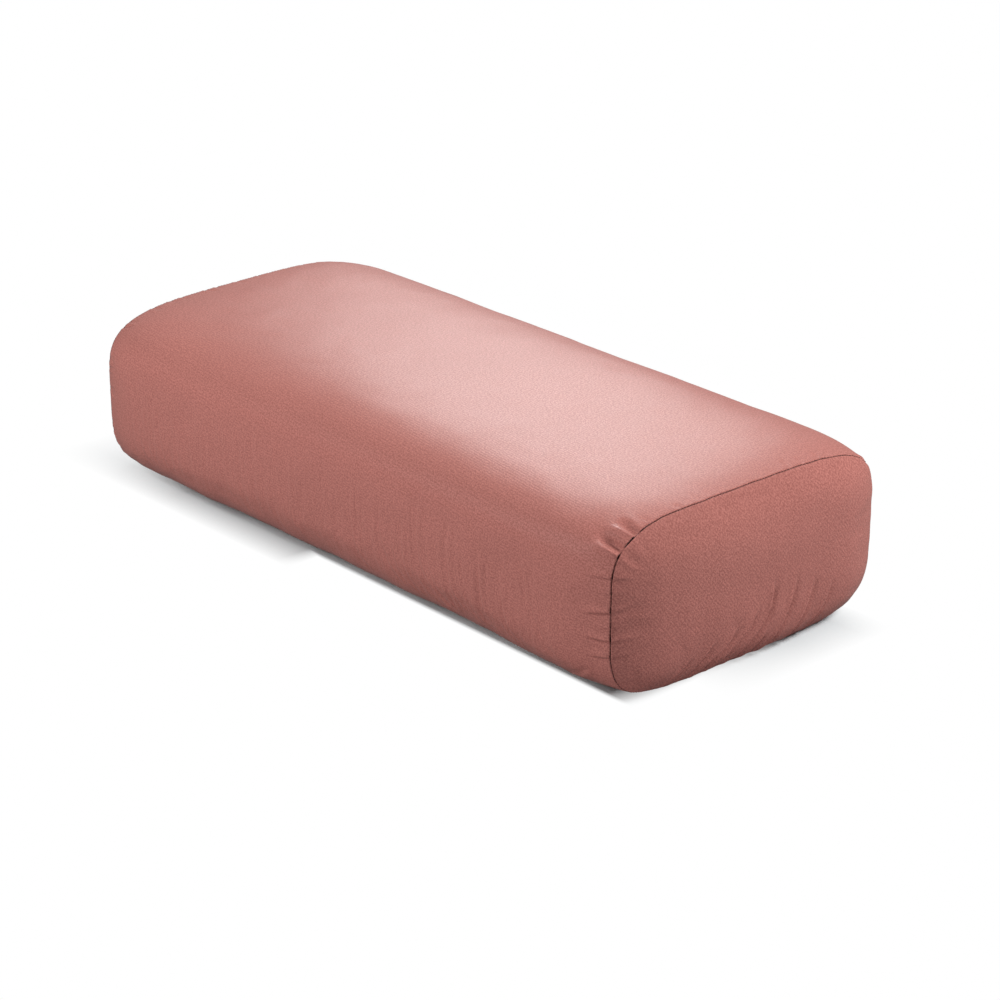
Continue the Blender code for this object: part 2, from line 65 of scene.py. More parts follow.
class Tree:
    """A shader or geometry node tree that is being filled in."""

    def __init__(self, tree: bpy.types.NodeTree) -> None:
        """Takes the tree to fill."""
        self.tree = tree

    def put(self, kind: str, inputs: dict[Any, Any] | None = None, **settings: Any) -> bpy.types.Node:
        """Adds a node.

        Args:
            kind: The node's type name.
            inputs: Its inputs by name or number, each a value or another node's output to link.
            settings: The node's own properties.

        Returns:
            The node.
        """
        made = self.tree.nodes.new(kind)
        for name, value in settings.items():
            setattr(made, name, value)
        self.feed(made, inputs or {})
        return made

    def feed(self, node: bpy.types.Node, inputs: dict[Any, Any]) -> None:
        """Sets a node's inputs by name or number, each to a value or from another node's output."""
        for name, value in inputs.items():
            if isinstance(value, bpy.types.NodeSocket):
                self.tree.links.new(value, node.inputs[name])
            else:
                node.inputs[name].default_value = value

    def math(self, operation: str, *values: Any) -> bpy.types.NodeSocket:
        """The result of a Math node on one to three values or outputs."""
        return self.put("ShaderNodeMath", dict(enumerate(values)), operation=operation).outputs[0]

    def noise(self, vector: bpy.types.NodeSocket, scale: Any, detail: float = 2.0) -> bpy.types.NodeSocket:
        """The value of a Noise texture of that many swells a metre."""
        return self.put("ShaderNodeTexNoise", {"Vector": vector, "Scale": scale, "Detail": detail}).outputs[0]

    def ramp(self, value: bpy.types.NodeSocket, low: float, high: float) -> bpy.types.NodeSocket:
        """A value mapped from low..high to 0..1 and held there."""
        inputs = {"Value": value, "From Min": low, "From Max": high}
        return self.put("ShaderNodeMapRange", inputs, clamp=True).outputs[0]

    def mix(self, share: Any, first: Any, second: Any) -> bpy.types.NodeSocket:
        """A mix of two colours."""
        inputs = {0: share, 6: first, 7: second}
        inputs = {number: (*value, 1.0) if isinstance(value, tuple) else value for number, value in inputs.items()}
        return self.put("ShaderNodeMix", inputs, data_type="RGBA").outputs[2]


class SocketKind(Enum):
    """The kinds of socket that the groups and trees here have."""

    NUMBER = "NodeSocketFloat"
    WHOLE = "NodeSocketInt"
    VECTOR = "NodeSocketVector"
    COLOUR = "NodeSocketColor"
    GEOMETRY = "NodeSocketGeometry"
    MATERIAL = "NodeSocketMaterial"


def new_group(
    name: str, kind: str, takes: dict[str, SocketKind], gives: dict[str, SocketKind]
) -> tuple[Tree, Any, bpy.types.Node]:
    """Starts a node group.

    Args:
        name: The group's name.
        kind: ShaderNodeTree or GeometryNodeTree.
        takes: Its inputs.
        gives: Its outputs.

    Returns:
        The tree, its input node's outputs and its output node.
    """
    group = bpy.data.node_groups.new(name, kind)
    for title, socket in takes.items():
        group.interface.new_socket(title, in_out="INPUT", socket_type=socket.value)
    for title, socket in gives.items():
        group.interface.new_socket(title, in_out="OUTPUT", socket_type=socket.value)
    tree = Tree(group)
    return tree, tree.put("NodeGroupInput").outputs, tree.put("NodeGroupOutput")


def twill_weave_group() -> bpy.types.NodeTree:
    """The diagonal ribs of a twill over its threads, from cloth coordinates in metres."""
    number = SocketKind.NUMBER
    takes = {"Cloth": SocketKind.VECTOR, "Rib Pitch": number, "Rib Angle": number, "Thread Pitch": number}
    tree, start, end = new_group("twill_weave", "ShaderNodeTree", takes, {"Height": number, "Shade": number})
    cloth = start["Cloth"]
    slow_swells, slow_drift, quick_swells, quick_drift = 55.0, 0.55, 300.0, 0.9
    grain_swells, grain_relief, grain_shade, coarse_swells, coarse_shade = 860.0, 0.8, 3.2, 430.0, 1.3
    rib_relief, thread_relief, rib_shade, shade_floor = 0.5, 0.25, 0.28, 0.36
    drift = tree.math("MULTIPLY", tree.math("SUBTRACT", tree.noise(cloth, slow_swells), 0.5), slow_drift)
    drift = tree.math("MULTIPLY_ADD", tree.noise(cloth, quick_swells, 1.0), quick_drift, drift)
    turned = tree.put("ShaderNodeVectorRotate", {"Vector": cloth, "Angle": start["Rib Angle"]}, rotation_type="Z_AXIS")
    along = tree.put("ShaderNodeSeparateXYZ", {0: turned.outputs[0]}).outputs
    across = tree.math("ADD", tree.math("DIVIDE", along[0], start["Rib Pitch"]), drift)
    rib = tree.math("MULTIPLY_ADD", tree.math("SINE", tree.math("MULTIPLY", across, math.tau)), 0.5, 0.5)
    floats = tree.math("ADD", tree.math("DIVIDE", along[1], start["Thread Pitch"]), tree.math("FLOOR", across))
    thread = tree.math("MULTIPLY_ADD", tree.math("SINE", tree.math("MULTIPLY", floats, math.tau)), 0.5, 0.5)
    grain = tree.math("SUBTRACT", tree.noise(cloth, grain_swells), 0.5)
    coarse = tree.math("SUBTRACT", tree.noise(cloth, coarse_swells, 1.0), 0.5)
    woven = tree.math("MULTIPLY_ADD", thread, thread_relief, tree.math("MULTIPLY", rib, rib_relief))
    height = tree.math("MULTIPLY_ADD", grain, grain_relief, woven)
    speckle = tree.math("MULTIPLY_ADD", grain, grain_shade, tree.math("MULTIPLY", coarse, coarse_shade))
    shade = tree.math("MULTIPLY_ADD", rib, rib_shade, tree.math("ADD", speckle, shade_floor))
    tree.feed(end, {"Height": height, "Shade": tree.ramp(shade, 0.0, 1.0)})
    return tree.tree


def cloth_tone_group() -> bpy.types.NodeTree:
    """The uneven dye of cloth: broad patches, and slubs a few millimetres long."""
    takes = {"Colour": SocketKind.COLOUR, "Place": SocketKind.VECTOR, "Unevenness": SocketKind.NUMBER}
    tree, start, end = new_group("cloth_tone", "ShaderNodeTree", takes, {"Colour": SocketKind.COLOUR})
    patch_swells, slub_swells, slub_share = 9.0, 210.0, 0.45
    broad = tree.ramp(tree.noise(start["Place"], patch_swells, 3.0), 0.3, 0.7)
    slub = tree.ramp(tree.noise(start["Place"], slub_swells), 0.35, 0.65)
    both = tree.math("MULTIPLY_ADD", slub, slub_share, tree.math("MULTIPLY", broad, 1 - slub_share))
    level = tree.math("MULTIPLY_ADD", tree.math("SUBTRACT", both, 0.5), start["Unevenness"], 1.0)
    toned = tree.put("ShaderNodeHueSaturation", {"Color": start["Colour"], "Value": level})
    tree.feed(end, {"Colour": toned.outputs[0]})
    return tree.tree


def fibre_group() -> bpy.types.NodeTree:
    """Loose fibres, drawn out along one direction."""
    takes = {"Place": SocketKind.VECTOR, "Fineness": SocketKind.NUMBER}
    tree, start, end = new_group("fibres", "ShaderNodeTree", takes, {"Height": SocketKind.NUMBER})
    drawn = tree.put("ShaderNodeMapping", {"Vector": start["Place"], "Scale": (0.15, 1.0, 1.0)}).outputs[0]
    tree.feed(end, {"Height": tree.ramp(tree.noise(drawn, start["Fineness"], 6.0), 0.3, 0.75)})
    return tree.tree


def rubbed_group() -> bpy.types.NodeTree:
    """Where handling has rubbed a hard piece: fine scratches and dull patches."""
    takes = {"Place": SocketKind.VECTOR, "Fineness": SocketKind.NUMBER}
    gives = {"Scratches": SocketKind.NUMBER, "Patches": SocketKind.NUMBER}
    tree, start, end = new_group("rubbed", "ShaderNodeTree", takes, gives)
    drawn = tree.put("ShaderNodeMapping", {"Vector": start["Place"], "Scale": (0.08, 1.0, 1.0)}).outputs[0]
    patch_swells = 260.0
    scratches = tree.ramp(tree.noise(drawn, start["Fineness"], 5.0), 0.45, 0.6)
    patches = tree.ramp(tree.noise(start["Place"], patch_swells, 3.0), 0.4, 0.7)
    tree.feed(end, {"Scratches": scratches, "Patches": patches})
    return tree.tree


class Effects:
    """The node groups that the finishes share, each made once."""

    def __init__(self) -> None:
        """Makes the groups."""
        self.twill = twill_weave_group()
        self.tone = cloth_tone_group()
        self.fibres = fibre_group()
        self.rubbed = rubbed_group()


def start_material(name: str) -> tuple[bpy.types.Material, Tree, bpy.types.Node]:
    """A new material with its Principled shader.

    Args:
        name: The material's name.

    Returns:
        The material, its tree and its shader node.
    """
    made = bpy.data.materials.new(name)
    made.use_nodes = True
    return made, Tree(made.node_tree), made.node_tree.nodes["Principled BSDF"]


@dataclass(frozen=True)
class WovenFinish:
    """Woven cloth: twill for the cover, the strap and the tapes, or plain weave where the angle is square."""

    name: str
    colour: Colour
    rib_pitch: float = 0.0024
    rib_angle: float = math.radians(6.4)
    thread_pitch: float = 0.0011
    relief: float = 0.00007
    rib_shade: float = 0.34
    dark_powers: Colour = (1.0, 1.25, 1.25)
    unevenness: float = 0.10
    roughness: float = 0.44
    rough_spread: float = 0.1
    sheen: float = 0.05
    sheen_roughness: float = 0.42
    sheen_tint: Colour = (1.0, 0.90, 0.87)
    specular: float = 0.5

    def material(self, effects: Effects) -> bpy.types.Material:
        """The finish's material, which reads the piece's cloth map."""
        made, tree, shader = start_material(self.name)
        cloth = tree.put("ShaderNodeUVMap", uv_map="cloth").outputs[0]
        place = tree.put("ShaderNodeTexCoord").outputs["Object"]
        threads = {"Rib Pitch": self.rib_pitch, "Rib Angle": self.rib_angle, "Thread Pitch": self.thread_pitch}
        weave = tree.put("ShaderNodeGroup", {"Cloth": cloth, **threads}, node_tree=effects.twill).outputs
        dye = {"Place": place, "Colour": (*self.colour, 1.0), "Unevenness": self.unevenness}
        tone = tree.put("ShaderNodeGroup", dye, node_tree=effects.tone).outputs[0]
        dark = tuple(level * (1 - self.rib_shade) ** power for level, power in zip(self.colour, self.dark_powers))
        bump = tree.put("ShaderNodeBump", {"Height": weave["Height"], "Distance": self.relief})
        rough = tree.math("MULTIPLY_ADD", weave["Shade"], -self.rough_spread, self.roughness + self.rough_spread / 2)
        inputs = {
            "Base Color": tree.mix(tree.math("SUBTRACT", 1.0, weave["Shade"]), tone, dark),
            "Roughness": rough,
            "Normal": bump.outputs[0],
            "Sheen Weight": self.sheen,
            "Sheen Roughness": self.sheen_roughness,
            "Sheen Tint": (*self.sheen_tint, 1.0),
            "Specular IOR Level": self.specular,
        }
        tree.feed(shader, inputs)
        return made


@dataclass(frozen=True)
class FibreFinish:
    """Carded cotton or twisted thread, with no weave."""

    name: str
    colour: Colour
    fineness: float = 900.0
    relief: float = 0.0003
    hollow_shade: float = 0.8
    roughness: float = 0.95
    sheen: float = 0.3

    def material(self, effects: Effects) -> bpy.types.Material:
        """The finish's material."""
        made, tree, shader = start_material(self.name)
        place = tree.put("ShaderNodeTexCoord").outputs["Object"]
        group = {"Place": place, "Fineness": self.fineness}
        wisps = tree.put("ShaderNodeGroup", group, node_tree=effects.fibres).outputs[0]
        dark = tuple(level * self.hollow_shade for level in self.colour)
        bump = tree.put("ShaderNodeBump", {"Height": wisps, "Distance": self.relief})
        inputs = {
            "Base Color": tree.mix(wisps, dark, self.colour),
            "Normal": bump.outputs[0],
            "Roughness": self.roughness,
            "Sheen Weight": self.sheen,
        }
        tree.feed(shader, inputs)
        return made


@dataclass(frozen=True)
class HardFinish:
    """Moulded plastic or plated metal that has been handled."""

    name: str
    colour: Colour
    metallic: float = 0.0
    roughness: float = 0.35
    rubbed_roughness: float = 0.5
    rubbed_shade: float = 1.18
    fineness: float = 2600.0
    relief: float = 0.00002

    def material(self, effects: Effects) -> bpy.types.Material:
        """The finish's material."""
        made, tree, shader = start_material(self.name)
        place = tree.put("ShaderNodeTexCoord").outputs["Object"]
        group = {"Place": place, "Fineness": self.fineness}
        rubbed = tree.put("ShaderNodeGroup", group, node_tree=effects.rubbed).outputs
        worn = tuple(min(1.0, level * self.rubbed_shade) for level in self.colour)
        reach = self.rubbed_roughness - self.roughness
        bump = tree.put("ShaderNodeBump", {"Height": rubbed["Scratches"], "Distance": self.relief})
        inputs = {
            "Base Color": tree.mix(rubbed["Scratches"], self.colour, worn),
            "Roughness": tree.math("MULTIPLY_ADD", rubbed["Patches"], reach, self.roughness),
            "Normal": bump.outputs[0],
            "Metallic": self.metallic,
        }
        tree.feed(shader, inputs)
        return made


class Finishes:
    """Every material of the bolster."""

    def __init__(self) -> None:
        """Makes the materials."""
        effects = Effects()
        thread = {"fineness": 5200.0, "relief": 0.00004}
        self.cover = WovenFinish("dusty_rose_twill", (0.443, 0.174, 0.147)).material(effects)
        self.strap = WovenFinish("strap_twill", (0.405, 0.152, 0.128)).material(effects)
        self.tape = WovenFinish(
            "zip_tape_weave", (0.33, 0.122, 0.104), rib_pitch=0.0009, thread_pitch=0.0006, relief=0.0001, sheen=0.2
        ).material(effects)
        self.liner = WovenFinish(
            "liner_cotton", (0.80, 0.77, 0.69), rib_pitch=0.0008, rib_angle=0.0, thread_pitch=0.0008, sheen=0.2
        ).material(effects)
        # The seam thread is far darker than the cloth: partly the thread's own colour, partly painted shade of the seam
        # groove.
        self.thread = FibreFinish("seam_thread_and_painted_shade", (0.105, 0.033, 0.029), **thread).material(effects)
        self.topstitch = FibreFinish("top_thread", (0.36, 0.13, 0.11), **thread).material(effects)
        self.calico_thread = FibreFinish("calico_thread", (0.82, 0.79, 0.72), fineness=5200.0).material(effects)
        self.wadding = FibreFinish("cotton_wadding", (0.86, 0.83, 0.76)).material(effects)
        self.teeth = HardFinish("zip_tooth_plastic", (0.34, 0.128, 0.108), rubbed_roughness=0.45).material(effects)
        self.metal = HardFinish("zip_slider_metal", (0.62, 0.60, 0.58), metallic=1.0, roughness=0.26).material(effects)


def smoothstep(value: Array | float, low: float, high: float) -> Array:
    """A soft step from 0 at low to 1 at high."""
    share = np.clip((np.asarray(value, float) - low) / (high - low), 0.0, 1.0)
    return share * share * (3 - 2 * share)


def ripple(points: Array, wavelength: float, seed: int, waves: int = 24) -> Array:
    """A smooth random field with a spread of 1, from plane waves in seeded directions.

    Args:
        points: Places, with their coordinates on the last axis.
        wavelength: The mean length of a swell.
        seed: The random draw's seed.
        waves: How many plane waves are summed.

    Returns:
        The field at each place.
    """
    draw = np.random.default_rng(seed)
    total = np.zeros(points.shape[:-1])
    for _ in range(waves):
        way = draw.normal(size=points.shape[-1])
        way *= math.tau / (wavelength * draw.uniform(0.7, 1.5) * np.linalg.norm(way))
        total += np.cos(points @ way + draw.uniform(0, math.tau))
    return total * math.sqrt(2 / waves)


@dataclass(frozen=True)
class Swell:
    """Smooth random unevenness of one size."""

    height: float
    wavelength: float
    seed: int

    def at(self, places: Array, shift: int = 0) -> Array:
        """The unevenness at these places, drawn with the seed moved on by shift."""
        return self.height * ripple(places, self.wavelength, self.seed + shift)


def add_object(name: str, data: Any) -> bpy.types.Object:
    """Adds an object with this data to the scene, at the origin."""
    made = bpy.data.objects.new(name, data)
    bpy.context.scene.collection.objects.link(made)
    return made


def plain_mesh(piece: bpy.types.Object) -> bpy.types.Mesh:
    """A new mesh of a piece as its modifiers leave it."""
    graph = bpy.context.evaluated_depsgraph_get()
    return bpy.data.meshes.new_from_object(piece.evaluated_get(graph), depsgraph=graph)


def vertex_places(mesh: bpy.types.Mesh) -> Array:
    """Where a mesh's vertices lie."""
    places = np.zeros(len(mesh.vertices) * 3)
    mesh.vertices.foreach_get("co", places)
    return places.reshape(-1, 3)


def run_lengths(line: Array) -> Array:
    """How far along a line of points each of them lies."""
    return np.concatenate([[0.0], np.cumsum(np.linalg.norm(np.diff(line, axis=0), axis=1))])


def add_piece(
    name: str, points: Array, faces: Sequence[Sequence[int]], material: bpy.types.Material, cloth: Array | None = None
) -> bpy.types.Object:
    """Makes a smooth-shaded piece at the origin.

    Args:
        name: The piece's name.
        points: Its vertices.
        faces: Its faces, as vertex numbers.
        material: Its material.
        cloth: Cloth coordinates in metres for each vertex, if it is woven.

    Returns:
        The object.
    """
    mesh = bpy.data.meshes.new(name)
    mesh.from_pydata([tuple(point) for point in points], [], [tuple(face) for face in faces])
    if cloth is not None:
        corners = np.zeros(len(mesh.loops), np.int32)
        mesh.loops.foreach_get("vertex_index", corners)
        layer = mesh.uv_layers.new(name="cloth")
        layer.data.foreach_set("uv", np.asarray(cloth, np.float32)[corners].ravel())
    mesh.shade_smooth()
    mesh.materials.append(material)
    mesh.validate()
    return add_object(name, mesh)


def ring_faces(first: int, second: int, count: int, closed: bool = True) -> list[tuple[int, ...]]:
    """The quads between two rows of points.

    Args:
        first: The number of the first row's first point.
        second: The number of the second row's first point.
        count: The points in each row.
        closed: Whether each row joins back to its start.

    Returns:
        The faces.
    """
    steps = range(count if closed else count - 1)
    return [
        (first + step, first + (step + 1) % count, second + (step + 1) % count, second + step) for step in steps
    ]


def tube_faces(rows: int, count: int, capped: bool = False) -> list[tuple[int, ...]]:
    """The quads of a tube of rows of points, and its two flat ends if it is capped."""
    faces = [face for row in range(rows - 1) for face in ring_faces(row * count, (row + 1) * count, count)]
    return faces + [tuple(range(count)), tuple(range((rows - 1) * count, rows * count))] * capped


def lace(first: Sequence[int], first_at: Sequence[float], second: Sequence[int], second_at: Sequence[float]) -> list:
    """Triangles between two rows of unlike counts.

    Args:
        first: One row's point numbers.
        first_at: How far along each of them lies, rising.
        second: The other row's point numbers.
        second_at: How far along each of those lies, rising.

    Returns:
        The faces.
    """
    faces = []
    here, there = 0, 0
    while here < len(first) - 1 or there < len(second) - 1:
        step_first = there == len(second) - 1 or (
            here < len(first) - 1 and first_at[here + 1] <= second_at[there + 1]
        )
        if step_first:
            faces.append((first[here], first[here + 1], second[there]))
            here += 1
        else:
            faces.append((first[here], second[there + 1], second[there]))
            there += 1
    return faces


@dataclass(frozen=True)
class CoverForm:
    """The filled cover's outer form, as a rule of the place along the bolster and round its girth."""

    width: float = 0.306
    height: float = 0.147
    seam_x: float = 0.3117
    face_gap: float = 0.0003
    end_bulge: float = 0.018
    taper_run: float = 0.077
    end_width_loss: float = 0.0217
    end_height_loss: float = 0.0046
    base_flat_depth: float = 0.0005
    widest_share: float = 0.55
    top_squareness: float = 3.9
    base_squareness: float = 4.9
    bulge_sharpness: tuple[tuple[float, float], ...] = (
        (0.00, 5.0),
        (0.13, 4.3),
        (0.24, 3.7),
        (0.36, 3.8),
        (0.479, 4.3),
        (0.60, 5.0),
        (0.74, 6.0),
        (0.88, 6.0),
        (1.00, 5.0),
    )
    bulge_blur: tuple[float, ...] = (-0.05, -0.025, 0.0, 0.025, 0.05)
    front_share: float = 0.479
    samples: int = 1440
    slope_step: float = 0.0005
    normal_step: float = 0.0015

    @property
    def face_x(self) -> float:
        """Where the end panels start, at their seams."""
        return self.seam_x + self.face_gap

    @property
    def end_reach(self) -> float:
        """The mean distance from an end's middle to its seam."""
        return (self.width + self.height) / 4

    def outline(self, x: float) -> Array:
        """The closed outline at x, from the back's middle up over the top, as (y, z) points."""
        past = max(0.0, min(abs(x), self.seam_x) - (self.seam_x - self.taper_run)) / self.taper_run
        half = (self.width - self.end_width_loss * past**3) / 2
        height = self.height - self.end_height_loss * past**3 + self.base_flat_depth
        widest = self.widest_share * height
        angle = np.linspace(0, math.tau, self.samples + 1)
        across, rise = np.cos(angle), np.sin(angle)
        above = rise > 0
        power = 2 / np.where(above, self.top_squareness, self.base_squareness)
        reach = np.where(above, height - widest, widest)
        y = half * np.sign(across) * np.abs(across) ** power
        z = widest + reach * np.sign(rise) * np.abs(rise) ** power - self.base_flat_depth
        return np.stack([y, z], 1)

    def girth(self, x: float = 0.0) -> float:
        """The outline's length at x."""
        return float(np.linalg.norm(np.diff(self.outline(x), axis=0), axis=1).sum())

    def at(self, x: float, places: Array) -> tuple[Array, Array]:
        """Points of the outline and their normals, in the plane of x.

        Args:
            x: The station.
            places: Metres round the girth from the back's middle.

        Returns:
            (y, z) points and outward (y, z) normals.
        """
        outline = self.outline(x)
        run = run_lengths(outline)

        def read(where: Array) -> Array:
            """The outline at these places."""
            where = np.mod(where, run[-1])
            return np.stack([np.interp(where, run, outline[:, 0]), np.interp(where, run, outline[:, 1])], -1)

        along = read(places + self.normal_step) - read(places - self.normal_step)
        along /= np.linalg.norm(along, axis=-1, keepdims=True)
        return read(places), np.stack([along[..., 1], -along[..., 0]], -1)

    def skin(self, xs: Array, shares: Array) -> tuple[Array, Array]:
        """The outer surface on a grid.

        Args:
            xs: Stations, one for each row.
            shares: Shares of the girth, for each row and column.

        Returns:
            Points and outward normals, rows by columns by three.
        """
        points, normals = [], []
        for x, row in zip(xs, shares):
            flat, outward = self.at(x, row * self.girth(x))
            lower, _ = self.at(x - self.slope_step, row * self.girth(x - self.slope_step))
            upper, _ = self.at(x + self.slope_step, row * self.girth(x + self.slope_step))
            slope = ((upper - lower) * outward).sum(-1, keepdims=True) / (2 * self.slope_step)
            normal = np.concatenate([-slope, outward], -1)
            points.append(np.concatenate([np.full((len(row), 1), x), flat], -1))
            normals.append(normal / np.linalg.norm(normal, axis=-1, keepdims=True))
        return np.array(points), np.array(normals)

    def sharpness(self, place: Array | float) -> Array:
        """How squarely an end's bulge meets its seam, softest at the top, at shares of the girth."""
        table = np.array(self.bulge_sharpness)
        near = [np.interp(np.mod(np.asarray(place) + off, 1.0), *table.T) for off in self.bulge_blur]
        return np.mean(near, axis=0)

    def end_x(self, share: Array | float, place: Array | float = 0.24) -> Array:
        """How far out an end's face lies at a share of the way from its middle to its seam, by default upwards."""
        return self.face_x + self.end_bulge * (1 - np.abs(share) ** self.sharpness(place))

    def spread(self, flat: Array) -> Array:
        """The share of the way from an end's middle to its seam, at (y, z) places."""
        rim = self.outline(self.seam_x)[:-1] - self.end_middle
        turn = np.arctan2(rim[:, 1], rim[:, 0])
        away = flat - self.end_middle
        reach = np.interp(np.arctan2(away[..., 1], away[..., 0]), turn, np.linalg.norm(rim, axis=1), period=math.tau)
        return np.linalg.norm(away, axis=-1) / reach

    @property
    def end_middle(self) -> Array:
        """The (y, z) middle of an end."""
        outline = self.outline(self.seam_x)
        return np.array([0.0, (outline[:, 1].min() + outline[:, 1].max()) / 2])


def tuck(off: Array, ease: float) -> Array:
    """A tuck's section, in its own widths: a low ridge, a drop at 0 over twice the ease, then a slow climb back."""
    ridge_height, ridge_width, climb_width, climb_power = 0.4, 0.9, 2.2, 1.15
    drop = smoothstep(off, -ease, ease)
    ridge = ridge_height * np.exp(-((np.minimum(off + ease, 0.0) / ridge_width) ** 2))
    return ridge * (1 - drop) - drop * np.clip(1 - np.maximum(off, 0.0) / climb_width, 0.0, 1.0) ** climb_power


def lap(off: Array) -> Array:
    """A lapped gather's section, in its own widths: a rise to 0, a drop to just below level, then a slow climb back."""
    ridge_height, ridge_width, drop_width, dip, climb_width = 0.7, 0.9, 0.85, 0.3, 1.2
    drop = smoothstep(off, 0.0, drop_width)
    ridge = ridge_height * np.exp(-((np.minimum(off, 0.0) / ridge_width) ** 2)) * (1 - drop)
    return ridge - dip * drop * np.exp(-np.maximum(off - drop_width, 0.0) / climb_width)


def gather(off: Array) -> Array:
    """A plain gather's section, in its own widths: a groove at 0, with a high lip after it and a low one before."""
    lip, lip_at, lip_width, low_lip, low_lip_at = 0.8, 1.7, 0.7, 0.3, 1.9
    after = lip * np.exp(-(((off - lip_at) / lip_width) ** 2))
    return -np.exp(-(off**2)) + after + low_lip * np.exp(-((off + low_lip_at) ** 2))


@dataclass(frozen=True)
class Pucker:
    """A gather that runs from an end seam into the body panel.

    Its place is metres round the girth, and its reach and slant lie along the body. A lapped one is a ridge that
    drops steeply past its line, and a plain one is a groove.
    """

    place: float
    reach: float
    width: float
    depth: float
    slant: float = 0.0
    lapped: bool = False
    widening: float = 0.5
    fade_run: float = 0.62
    seam_share: float = 0.65
    seam_run: float = 0.003

    def height(self, away: Array, place: Array) -> Array:
        """The lift of the cloth.

        Args:
            away: Metres from the seam.
            place: Metres round the girth.

        Returns:
            The lift along the cloth's normal.
        """
        share = away / self.reach
        off = (place - self.place - self.slant * away) / (self.width * (1 + self.widening * share))
        shape = lap(off) if self.lapped else gather(off)
        rise = self.seam_share + (1 - self.seam_share) * smoothstep(away, 0.0, self.seam_run)
        return self.depth * shape * smoothstep(1 - share, 0.0, self.fade_run) * rise


@dataclass(frozen=True)
class Fold:
    """A tuck in the cloth along a line of points on it: a low ridge, a steep drop and a slow climb to one side."""

    line: tuple[tuple[float, float], ...]
    width: float
    lift: float
    side: float = 1.0
    ease: float = 0.45
    fade_in: Span = (0.0, 0.35)
    fade_out: Span = (-0.35, 0.05)
    widths_reached: int = 5

    def smooth_line(self, steps: int = 8) -> Array:
        """The line with a smooth curve through its points."""
        points = np.array(self.line)
        ends = np.concatenate([[2 * points[0] - points[1]], points, [2 * points[-1] - points[-2]]])
        found = []
        for before, here, there, after in zip(ends, ends[1:], ends[2:], ends[3:]):
            for share in np.arange(steps) / steps:
                found.append(
                    here
                    + 0.5 * share * (there - before)
                    + share**2 * (before - 2.5 * here + 2 * there - 0.5 * after)
                    + share**3 * 0.5 * (after - before + 3 * (here - there))
                )
        return np.array([*found, points[-1]])

    def height(self, places: Array) -> Array:
        """The lift of the cloth at places on it, given as its two coordinates."""
        line = self.smooth_line()
        ways = np.diff(line, axis=0)
        lengths = np.linalg.norm(ways, axis=1)
        run = run_lengths(line)
        flat = places.reshape(-1, 2)
        reach = self.widths_reached * self.width
        near = np.all((flat > line.min(0) - reach) & (flat < line.max(0) + reach), axis=1)
        lift = np.zeros(len(flat))
        close = flat[near]
        if not len(close):
            return lift.reshape(places.shape[:-1])
        best = np.full(len(close), np.inf)
        off, along = np.zeros(len(close)), np.zeros(len(close))
        for start, way, length, begun in zip(line, ways, lengths, run):
            unit = way / length
            gap = close - start
            share = np.clip(gap @ unit, 0, length)
            miss = gap - share[:, None] * unit
            distance = np.linalg.norm(miss, axis=1)
            closer = distance < best
            best = np.where(closer, distance, best)
            signed = np.sign(unit[0] * gap[:, 1] - unit[1] * gap[:, 0]) * distance
            off = np.where(closer, signed, off)
            along = np.where(closer, begun + share, along)
        share = along / run[-1]
        lift[near] = self.lift * tuck(off / self.width * self.side, self.ease) * smoothstep(share, *self.fade_in)
        lift[near] *= smoothstep(1 - share, *self.fade_out)
        return lift.reshape(places.shape[:-1])


